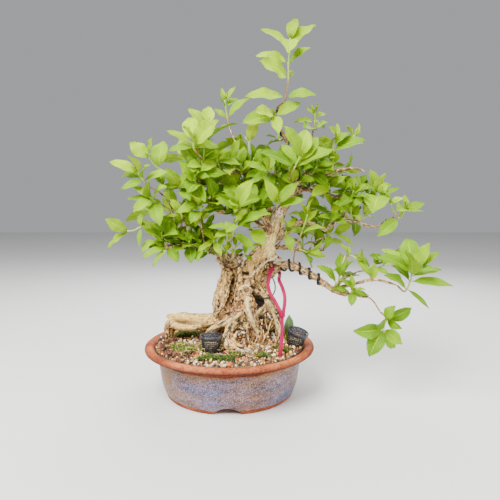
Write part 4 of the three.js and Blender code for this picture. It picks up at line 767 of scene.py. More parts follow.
thinLimbs = {
    "leader": [[61, 0, 221, 5.6], [69, 0, 237, 4], [78, -3, 251, 3.2], [83, -4, 268, 2.7],
        [80, -2, 283, 2.4], [74, 0, 298, 2.2], [66, 2, 316, 2.1], [58, 0, 329, 2], [55, -2, 338, 1.9],
        [60, -4, 348, 1.8], [67, -2, 354.6, 1.6]],
    "right1": [[68, 0, 235, 4.4], [80, 2, 252, 4], [92, 6, 267, 3.6], [111, 10, 267, 3],
        [126, 12, 271, 2.6], [143, 10, 276, 2], [157, 8, 276, 1.5], [166, 6, 273, 0.9]],
    "right2": [[64, 3, 226, 4.6], [78, 10, 243, 4], [90, 14, 251, 3.6], [108, 16, 248, 3],
        [123, 18, 244, 2.5], [139, 18, 241, 2], [156, 16, 238, 1.8], [179, 12, 232, 1.4]],
    "right3": [[56, 4, 196, 4.6], [76, 12, 203, 3.8], [88, 16, 210, 3.2], [104, 18, 208, 2.8],
        [122, 18, 201, 2.6], [136, 14, 212, 2.2], [155, 8, 212, 1.9], [171, 2, 206, 1.7],
        [183, 0, 206, 1.6], [193, -4, 214, 1.4]],
    "right4": [[38, 2, 136, 8], [48, 6, 146, 7.4], [58, 4, 153, 6.2], [70, 0, 158, 5.4], [84, -6, 155, 4.8],
        [97, -10, 149, 4.4], [109, -14, 142, 4], [117, -18, 136, 3.7], [128, -20, 129, 3.4],
        [140, -20, 125, 2.8], [153, -20, 124, 2.2], [162, -22, 122, 1.8]],
    "right4b": [[126, -19, 130, 2.8], [139, -22, 135, 2.4], [149, -28, 139, 2.1], [170, -34, 145, 1.8],
        [188, -40, 142, 1.5]],
    "right4c": [[128, -16, 131, 2.8], [138, -11, 142, 2.4], [149, -7, 146, 2]],
    "right5": [[48, 4, 178, 4], [64, 12, 179, 3.2], [90, 24, 174, 2.6], [106, 30, 171, 2],
        [122, 34, 173, 1.4]],
    "left1": [[6, 0, 148, 5.4], [-7, 2, 166, 4.8], [-18, 2, 177, 4.2], [-33, 0, 178, 3.8],
        [-47, -4, 182, 3.4], [-60, -8, 185, 3], [-74, -10, 182, 2.7], [-80, -14, 191, 2]],
    "left2": [[50, -3, 198, 4.6], [40, -10, 219, 4], [25, -14, 223, 3.6], [6, -18, 228, 3.4],
        [-10, -20, 224, 3], [-20, -20, 231, 2.6], [-28, -20, 242, 2.3], [-37, -18, 254, 2]],
    "left2b": [[-36, -18, 252, 2], [-32, -22, 270, 1.8], [-27, -26, 284, 1.6]],
    "left3": [[57, 3, 208, 4.4], [45, 12, 230, 3.6], [28, 20, 243, 3], [8, 26, 253, 2.4],
        [-13, 30, 261, 1.9], [-31, 32, 266, 1.5]],
    "left4": [[0, 3, 152, 4.4], [-13, 16, 175, 3.6], [-31, 24, 187, 2.8], [-52, 30, 194, 2.2],
        [-76, 34, 204, 1.6]],
    "crownSide": [[80, -3, 262, 2.4], [62, 2, 267, 2], [35, 2, 268, 1.8], [13, 0, 270, 1.7],
        [-8, -10, 271, 1.5]],
    "back1": [[57, 4, 204, 4.2], [48, 24, 231, 3], [36, 40, 257, 2.2], [25, 52, 277, 1.6]],
    "back2": [[60, 4, 208, 4], [74, 28, 231, 3], [91, 44, 248, 2.2], [108, 56, 259, 1.6]],
    "back3": [[53, 4, 190, 4], [41, 30, 204, 2.8], [23, 48, 214, 2.1], [1, 62, 219, 1.6]],
    "back4": [[56, 4, 190, 4], [74, 30, 197, 2.8], [97, 48, 198, 2.1], [117, 60, 200, 1.6]],
}
bark = {"step": 1.6, "branchStep": 1.3, "around": 30, "branchAround": 12, "voxel": 1.0, "smooth": 3,
        "crackDepth": 1.9, "lumpDepth": 1.7, "grainStretch": 0.16, "nodePace": (11, 17), "nodeSwell": 0.3,
        "bare": "#cfae78", "lowest": 45, "seed": 33, "twigSeed": 200, "stubSeed": 300}


# Knots, ridges and root strands that only the finished wood has: rows of [x, y, z, radius]
trunkForms = [
    # the crisp edge of the deadwood, its stub at the right, the flat face's two borders
    [[20, -21, 138, 1.6], [24, -21.5, 144, 1.8], [29, -21.5, 150, 1.9], [35, -20, 156, 1.9],
     [41, -16.5, 161, 1.9], [47, -13, 165, 2], [54, -9.5, 168, 2.2], [60, -7, 168.5, 2.4],
     [64, -6, 166, 1.9]],
    [[48, -3, 154, 5], [50, -3, 166, 7.4], [51, -2, 177, 7], [52, -1, 188, 5]],
    [[20, -9, 152, 4], [26, -7, 164, 4.4], [31, -5, 174, 4], [38, -4, 184, 3.4]],
    # the stump's ridges and the column beside the groove
    [[-5, -8, 155, 4], [-5, -15, 146, 4.4], [-7, -17, 132, 4], [-12, -17, 118, 4.4], [-16, -14, 102, 4.6],
     [-18, -12, 88, 5]],
    [[1, -10, 151, 3.6], [1, -16, 142, 3.6], [-2, -18, 129, 3.6], [-6, -19, 114, 4], [-8, -18, 100, 4]],
    [[14, -14, 148, 4.4], [13, -18, 139, 4.6], [12, -20, 127, 4.8], [10, -20, 114, 4.8],
     [6, -19, 102, 4.4]],
    # the ring of bark round the knot
    [[27, -25, 131, 2], [24.5, -25.5, 135.5, 2], [20, -24.5, 136.5, 2], [16.5, -23, 133, 2],
     [16.5, -23, 128.5, 2], [20.5, -25, 125.5, 2], [25.5, -26, 127, 2], [27, -25, 131, 2]],
    # roots that run over the mass: mid, front, mossy, right leg, inner, the left one's two lobes
    [[20, -24, 125, 3.8], [23.5, -27.5, 114, 3.8], [24, -29.5, 103, 3.7], [28, -30, 93, 3.4],
     [34.5, -28, 80, 2.9], [38, -26, 66, 2.3]],
    [[23, -25, 110, 3.6], [13.5, -26, 102.5, 3.8], [6, -27, 98, 3.8], [-1, -27, 93, 3.7],
     [-10, -26, 88.5, 3.5], [-19.5, -24, 84, 3.2], [-27, -22, 80, 2.6]],
    [[17, -26, 94.5, 2.6], [8, -31, 88, 2.9], [-1, -33, 82, 2.7], [-8, -33, 75, 2]],
    [[41, -12, 127, 3.8], [47.5, -13, 116, 3.8], [54, -13.5, 99, 3.8], [58, -13, 86, 3.7],
     [62.5, -14, 75, 3.6], [68, -15, 66, 3], [74, -17, 61, 2]],
    [[45, -15, 114, 2.4], [36, -21, 104, 2.5], [29, -25, 98, 2.3]],
    [[-80, 9, 91, 3.4], [-74, 7, 92, 4.4], [-60, 3, 91, 5], [-44, 0, 90.5, 5], [-30, -4, 92, 4.6],
     [-12, -9, 91, 4]],
    [[-79, 6, 80, 4], [-70, 0, 81, 4.8], [-56, -4, 80, 5], [-42, -7, 81, 4.6], [-30, -10, 85, 3.6],
     [-12, -14, 88, 3]],
    # the curled root's outer and inner strands
    [[6, -32, 86, 3.4], [-1, -38, 82, 3.9], [-4, -42, 75, 4], [-2, -46, 69, 3.9], [6, -49, 66.5, 3.7],
     [15, -51, 65.5, 3.2], [25, -51.5, 64, 2.5]],
    [[11, -33, 83, 2.8], [6.5, -38, 76, 3], [6.5, -42, 71.5, 3], [13, -45, 69, 3], [21, -47.5, 67, 2.6]],
    # back of the trunk
    [[2, 15, 132, 5], [8, 16, 110, 5.5], [4, 20, 90, 5]],
    [[30, 14, 140, 4.5], [31, 17, 118, 5.5], [36, 19, 96, 5]],
    [[18, 12, 150, 4], [19, 17, 126, 4.6], [20, 18, 102, 5], [22, 24, 82, 4]],
    [[44, 8, 168, 4], [40, 12, 150, 4.4], [42, 13, 128, 4.6], [48, 14, 106, 5]],
]
# Hollows in the wood; the bark material also darkens each one with painted shade
trunkHollows = [  # depth, rows of [x, y, z, reach]
    (8, [[11, -13, 150, 2.4], [6.5, -13, 140, 3], [3.2, -15, 130, 2.8], [0.5, -17, 121, 2.4],
     [-3, -19, 113, 2]]),
    (9, [[14.5, -15, 152, 2.4], [20, -17, 151, 2.8]]),
    (2.2, [[26, -20, 152, 1.1], [32, -18, 158, 1.3], [38, -14.5, 163, 1.3], [44, -11, 167, 1.1]]),
    (4.4, [[14, -27, 90, 3.4], [15, -29, 80, 4.6], [22, -30, 69, 6]]),
    (4.4, [[39, -22, 94, 3.6], [44, -22, 82, 4.6], [49, -22, 70, 6]]),
    (4, [[34, -17, 140, 2], [44, -13, 142, 2.6], [50, -10, 148, 2]]),
    (3, [[26, -22, 142, 1.8], [33, -20, 146, 2]]),
    (3.4, [[21.5, -25, 131, 1.8], [22, -25, 130.6, 1.8]]),
    (9, [[31, -20, 126, 2.8], [34.5, -17, 120, 4], [38, -14, 113, 3.8]]),
    (5, [[28, -23, 135, 2.2], [33, -20, 132, 3], [38, -16, 134, 2]]),
    (2.6, [[36, -14.5, 151, 1.8], [43, -11, 156, 2.4], [50, -8, 160, 2.6], [57, -6, 162, 2]]),
    (3.6, [[-70, 1, 87.5, 1.6], [-58, -3, 86, 2.2], [-42, -8, 87, 2.2], [-28, -12, 89, 2]]),
    (3, [[16, -25, 121, 2], [15, -26, 112, 2.4], [17, -29, 104, 2]]),
    (3.5, [[4, -40, 79, 1.8], [1, -43, 72, 2], [6, -46, 69, 2], [16, -48, 67.5, 1.8]]),
    (3, [[-3, -24, 108, 2.4], [-6, -21, 98, 3], [-16, -19, 94, 3]]),
    (3, [[47, -17, 108, 2.4], [50, -18, 96, 3], [52, -18, 84, 3]]),
    (5, [[10, 14, 142, 3.4], [13, 16, 122, 4], [14, 18, 100, 3.6]]),
    (5, [[26, 15, 150, 3], [26, 16, 130, 3.6], [28, 18, 108, 3.4]]),
]
# Worn, cut and mossy places, with painted shade between and under the roots and painted sunlight on the top
# of the trunk: colour, strength, how rough the bark stays there, rows of [x, y, z, reach]
trunkPaint = [
    # painted shade: dark brown in the mass between and behind the roots
    ("#3e2c18", 0.85, 1, [[26, -20, 98, 9], [40, -16, 96, 12], [46, -18, 76, 13]]),
    ("#4a361e", 0.75, 1, [[0, -24, 84, 8], [10, -26, 82, 9], [20, -28, 70, 10]]),
    # painted shade under the left root
    ("#6e4a26", 0.5, 1, [[-70, 2, 74, 6], [-60, 4, 76, 7], [-40, -2, 77, 6]]),
    ("#f2cc70", 0.88, 0.2, [[-84, 9, 92, 8], [-60, 0, 91, 10], [-40, -4, 91, 10], [-22, -10, 92, 7]]),
    ("#f0cc70", 0.85, 0.15, [[-68, -2, 84, 5], [-52, -8, 82, 6], [-38, -10, 84, 5]]),
    # painted shade in the crease between the left root's two lobes
    ("#8a5a2c", 0.8, 0.8, [[-74, 0, 87.5, 1.4], [-58, -4, 86.5, 1.6], [-42, -9, 87.5, 1.6],
     [-28, -13, 90, 1.6]]),
    ("#a08448", 0.45, 1, [[-4, -17, 152, 9], [-8, -18, 130, 10], [-16, -16, 100, 10]]),
    ("#e0b26a", 0.85, 0.12, [[23, -17, 152, 5], [29, -14, 162, 7], [38, -10, 172, 8], [48, -8, 180, 9]]),
    # the cream-orange patch below the leader, made paler with painted sunlight
    ("#ffe8a4", 0.95, 0.2, [[48, -8, 170, 6], [52, -7, 180, 7], [54, -7, 190, 6]]),
    ("#fff0c4", 0.95, 0.2, [[22, -23, 141, 1.4], [29, -23, 150, 1.8], [38, -19.5, 158, 1.9],
     [47, -14, 165, 2], [56, -10, 168, 2.4]]),
    # the cream-orange patch at the leader's base, made paler with painted sunlight
    ("#ffe890", 0.95, 0.3, [[48, -7, 186, 8], [50, -8, 200, 9], [53, -8, 212, 8]]),
    ("#e6d8cc", 0.8, 0.8, [[57, -8, 219, 7], [61, -7, 228, 9], [64, -4, 240, 7]]),
    ("#ecd39a", 0.7, 0.7, [[21, -24, 134, 7], [22, -24, 128, 7]]),
    ("#7c3c20", 0.85, 0.6, [[21.5, -24, 131, 3], [22.5, -24, 130, 3]]),
    ("#a4683a", 0.7, 0.7, [[17, -18, 146, 3], [20, -19, 143, 2.6]]),
    ("#e8d090", 0.9, 0.35, [[20, -27, 122, 4], [24, -31, 106, 4], [29, -32, 92, 3.8], [37, -29, 74, 3.8]]),
    ("#e4cc8c", 0.9, 0.35, [[22, -29, 108, 3.6], [6, -30, 98, 4], [-8, -29, 89, 4], [-24, -25, 82, 4]]),
    ("#ead294", 0.9, 0.4, [[42, -16, 126, 4], [50, -17, 110, 4.4], [57, -17, 90, 4.4], [66, -17, 68, 4.6]]),
    ("#d8ba7c", 0.8, 0.5, [[45, -17, 114, 2.6], [36, -23, 104, 2.6], [30, -27, 98, 2.6]]),
    ("#74743a", 0.8, 1, [[17, -29, 94, 3], [6, -33, 88, 3.4], [-6, -35, 77, 3.4]]),
    ("#a26a38", 0.7, 1, [[9, -34, 85, 4], [4, -37, 82, 3.4]]),
    ("#f3ead8", 0.9, 0.8, [[8, -52, 66, 3], [18, -53, 65, 4], [30, -52, 62, 5]]),
    ("#e6cf9c", 0.6, 0.9, [[-4, -45, 76, 4], [0, -49, 70, 3.6]]),
]


def shareNear(points, rows):  # 1 on the line through the rows, falling away over each row's reach
    line = Line(rows)
    places = line.places(2)
    away = np.linalg.norm(points[:, None] - line.point(places)[None], axis=2) / line.radius(places)
    return np.exp(-(away.min(1) ** 2))


def trunkPiece():
    bm = bmesh.new()
    guides = []  # middle lines with a frame, for the grain of the bark
    angles = np.arange(bark["around"]) / bark["around"] * 2 * math.pi
    for spans, lobes, rows in thickLimbs.values():
        line = Line(rows)
        places = line.places(bark["step"], 4)
        centres, tangents, normals, binormals = line.sections(places)
        i = (places * spans)[:, None]
        uneven = 1 + lobes * (np.sin(2 * angles + i) + np.sin(3 * angles - 0.8 * i) - 0.5)
        wide = line.radius(places)[:, None] * uneven
        addSweep(bm, tubeRings(centres, normals, binormals, wide, bark["around"]))
        guides.append((places * line.length, centres, tangents, normals, binormals, wide.mean(1)))
    for rows in trunkForms:
        line = Line(rows)
        places = line.places(bark["step"], 4)
        centres, _, normals, binormals = line.sections(places)
        radii = line.radius(places) * np.sin(np.clip(places, 0.12, 0.88) * math.pi) ** 0.35
        addSweep(bm, tubeRings(centres, normals, binormals, radii, 14))
    closeSeams(bm)
    rough = addObject("rough", meshOf(bm))
    remesh = rough.modifiers.new("voxels", "REMESH")
    remesh.mode = "VOXEL"
    remesh.voxel_size = bark["voxel"] / 1000
    relax = rough.modifiers.new("relax", "SMOOTH")
    relax.factor, relax.iterations = 0.5, bark["smooth"]
    whole = bpy.data.meshes.new_from_object(rough.evaluated_get(bpy.context.evaluated_depsgraph_get()))
    bpy.data.objects.remove(rough)

    points, normals = (vectorsOf(whole) - potMiddle) * 1000, vectorsOf(whole, "normal")
    runs, centres, tangents, sides, others, radii = (np.concatenate(part) for part in zip(*guides))
    which = np.concatenate([np.full(len(g[0]), k) for k, g in enumerate(guides)])
    tree = treeOf(centres)
    nearest = np.array([min(tree.find_n(p, 8), key=lambda hit: hit[2] / radii[hit[1]])[1] for p in points])
    offset = points - centres[nearest]
    along = runs[nearest] + (offset * tangents[nearest]).sum(1)
    grain = np.stack([(offset * sides[nearest]).sum(1), (offset * others[nearest]).sum(1),
                      along * bark["grainStretch"]], 1)
    grain += which[nearest][:, None] * np.array([7.3, 3.1, 11.7])

    thick = np.clip(radii[nearest] / 14, 0.25, 1)
    lumps = noiseAt(points, 11, 1, 2)
    strands = noiseAt(grain, 3.1, 2, 4)
    cracks = np.abs(noiseAt(grain, 2.3, 3, 3))
    pits = np.clip(noiseAt(points, 3.2, 7, 3) * 1.6, -1, 1)
    split = np.clip(1 - cracks / 0.17, 0, 1) ** 1.2
    calm, painted, hollowShade = np.ones(len(points)), np.zeros(len(points)), np.zeros(len(points))
    paint = np.tile(linear(bark["bare"])[:3], (len(points), 1))
    for code, most, rough, rows in trunkPaint:
        near = shareNear(points, rows)
        calm *= 1 - near * (1 - rough)
        paint += (np.array(linear(code)[:3]) - paint) * near[:, None]
        painted = np.maximum(painted, most * np.minimum(1, 1.3 * near))
    split *= calm
    raised = (bark["lumpDepth"] * lumps + 0.9 * strands + 0.5 * pits) * calm
    relief = (raised - bark["crackDepth"] * split) * thick
    # each hollow is cut into the wood and given a share of painted shade
    for depth, rows in trunkHollows:
        near = shareNear(points, rows)
        relief -= depth * near
        hollowShade = np.maximum(hollowShade, min(1, depth / 6) * near**0.7)
    points += normals * relief[:, None]
    points[:, 2] = np.maximum(points[:, 2], bark["lowest"])
    whole.vertices.foreach_set("co", toFrame(points).astype(np.float32).ravel())
    level = np.clip(0.5 + (0.5 * strands + 0.3 * pits) * calm - 0.6 * split, 0, 1)
    # the relief mark's second channel is the painted shade of the hollows
    addMark(whole, "relief", np.stack([level, hollowShade, painted], 1), calm)
    addMark(whole, "grain", grain / 10)
    addMark(whole, "paint", paint)
    out = bmesh.new()
    out.from_mesh(whole)
    return out


def furrowedBark(name, light, middle, dark):
    # Old corky bark of a shrub: soft buff ridges along the limb, brown cracks between them, no shine.
    made, add, here = startMaterial(name, 0.9)
    relief = add("Attribute", attribute_name="relief")  # its alpha is 0 where the wood is worn smooth
    form = add("SeparateColor", relief).node.outputs
    along = add("Attribute", attribute_name="grain")
    # grain is in centimetres across the limb and squeezed along it: cords about 1.5 mm wide
    cords = add("TexNoise", along, 7, 6, 0.68)
    base = add("ValToRGB", cords, stops=[(0.36, dark), (0.45, middle), (0.53, light), (0.64, "#fff0c4")])
    cloud = add("TexNoise", here, 42, 4, 0.6)
    warm = add("ValToRGB", cloud, stops=[(0.36, "#a87236"), (0.48, "#eed294"), (0.62, "#fff6d8")])
    tinted = add("Mix", 0.8, base, warm, **multiplied)
    worn = add("ValToRGB", cords, stops=[(0.35, "#64421c"), (0.45, "#d8c8a4"), (0.54, "#ffffff")])
    paint = add("Mix", 0.9, add("Attribute", attribute_name="paint"), worn, **multiplied)
    painted = add("Mix", form[2], tinted, paint, **mixed)
    # lichen and dirt in dots of 1 to 2 mm
    dots = add("TexNoise", here, 430, 3, 0.6)
    dotted = add("MapRange", dots, 0.56, 0.64, 0, 0.7)
    crust = add("MapRange", dots, 0.42, 0.35, 0, 0.6)
    pale = add("Mix", crust, painted, "#f4ecd0", **mixed)
    rugged = add("Math", dotted, relief.node.outputs["Alpha"], operation="MULTIPLY")
    dirty = add("Mix", rugged, pale, "#443a20", **mixed)
    crack = add("MapRange", form[0], 0.14, 0.5, 1, 0)
    cracked = add("Mix", crack, dirty, "#2e1d10", **mixed)
    # painted shade: the bark goes near black in the hollows
    paintedHollowShade = add("MapRange", form[1], 0.15, 0.7, 0, 0.96)
    colour = add("Mix", paintedHollowShade, cracked, "#20150c", **mixed)
    rough = add("Bump", Strength=0.9, Distance=0.0009, Height=cords)
    flake = add("TexNoise", here, 520, 4, 0.7)
    fine = add("Bump", Strength=0.5, Distance=0.0005, Height=flake, Normal=rough)
    return closeMaterial(made, colour, Normal=fine)


oldBark = furrowedBark("old corky bark", "#f0cc84", "#b98848", "#50341c")
finishPiece("trunk_and_roots", trunkPiece(), [oldBark], ["wood"])
print("trunk done")


# Branches and twigs: tubes that swell at their joints, with flaking bark

def barkTube(bm, line, places, radii, around, flare, seed, dark=0.0):
    centres, _, normals, binormals = line.sections(places)
    along = places * line.length
    rng = random.Random(seed)
    wide = radii * (1 + flare * np.exp(-along / (1.6 * radii[0])))
    joint = rng.uniform(4, 9)
    while joint < line.length - 2:
        wide = wide * (1 + bark["nodeSwell"] * np.exp(-(((along - joint) / 1.5) ** 2)))
        joint += rng.uniform(*bark["nodePace"])
    rings = tubeRings(centres, normals, binormals, wide, around)
    spokes = unit(rings - rings.mean(1, keepdims=True) + 1e-9)
    inner = rings[2:-2].reshape(-1, 3)
    scale = np.repeat(np.clip(wide / 3, 0.25, 1.2), around)
    lumps = noiseAt(inner, 3.4, seed, 3) * 0.42 * scale
    angles = np.tile(np.arange(around) / around * 2 * math.pi, len(places))
    runs, reach = np.repeat(along, around), np.repeat(wide, around)
    grain = np.stack([reach * np.cos(angles), reach * np.sin(angles), runs * bark["grainStretch"] * 1.6], 1)
    grain += np.array([seed * 5.7, seed * 2.9, 0])
    strands = noiseAt(grain, 1.5, seed + 3, 3)
    rings[2:-2] += spokes[2:-2] * (lumps + strands * 0.35 * scale).reshape(len(places), around, 1)
    relief = np.zeros(rings.shape)
    relief[..., 0] = 0.5
    relief[2:-2, :, 0] = np.clip(0.55 - dark + 0.6 * strands.reshape(len(places), around), 0, 1)
    addSweep(bm, rings, relief=relief, grain=withEnds(grain.reshape(len(places), around, 3) / 10))


limbLines = {name: Line(rows) for name, (_, _, rows) in thickLimbs.items()}
limbLines |= {name: Line(rows) for name, rows in thinLimbs.items()}
middlePoints = np.concatenate([line.point(line.places(1.5, 8)) for line in limbLines.values()])
middleRadii = np.concatenate([line.radius(line.places(1.5, 8)) for line in limbLines.values()])


def rootedAt(point):  # the place in the nearest limb that a twig starts from
    depth = 0.6 * middleRadii - np.linalg.norm(middlePoints - np.asarray(point, float), axis=1)
    return middlePoints[int(np.argmax(depth))]


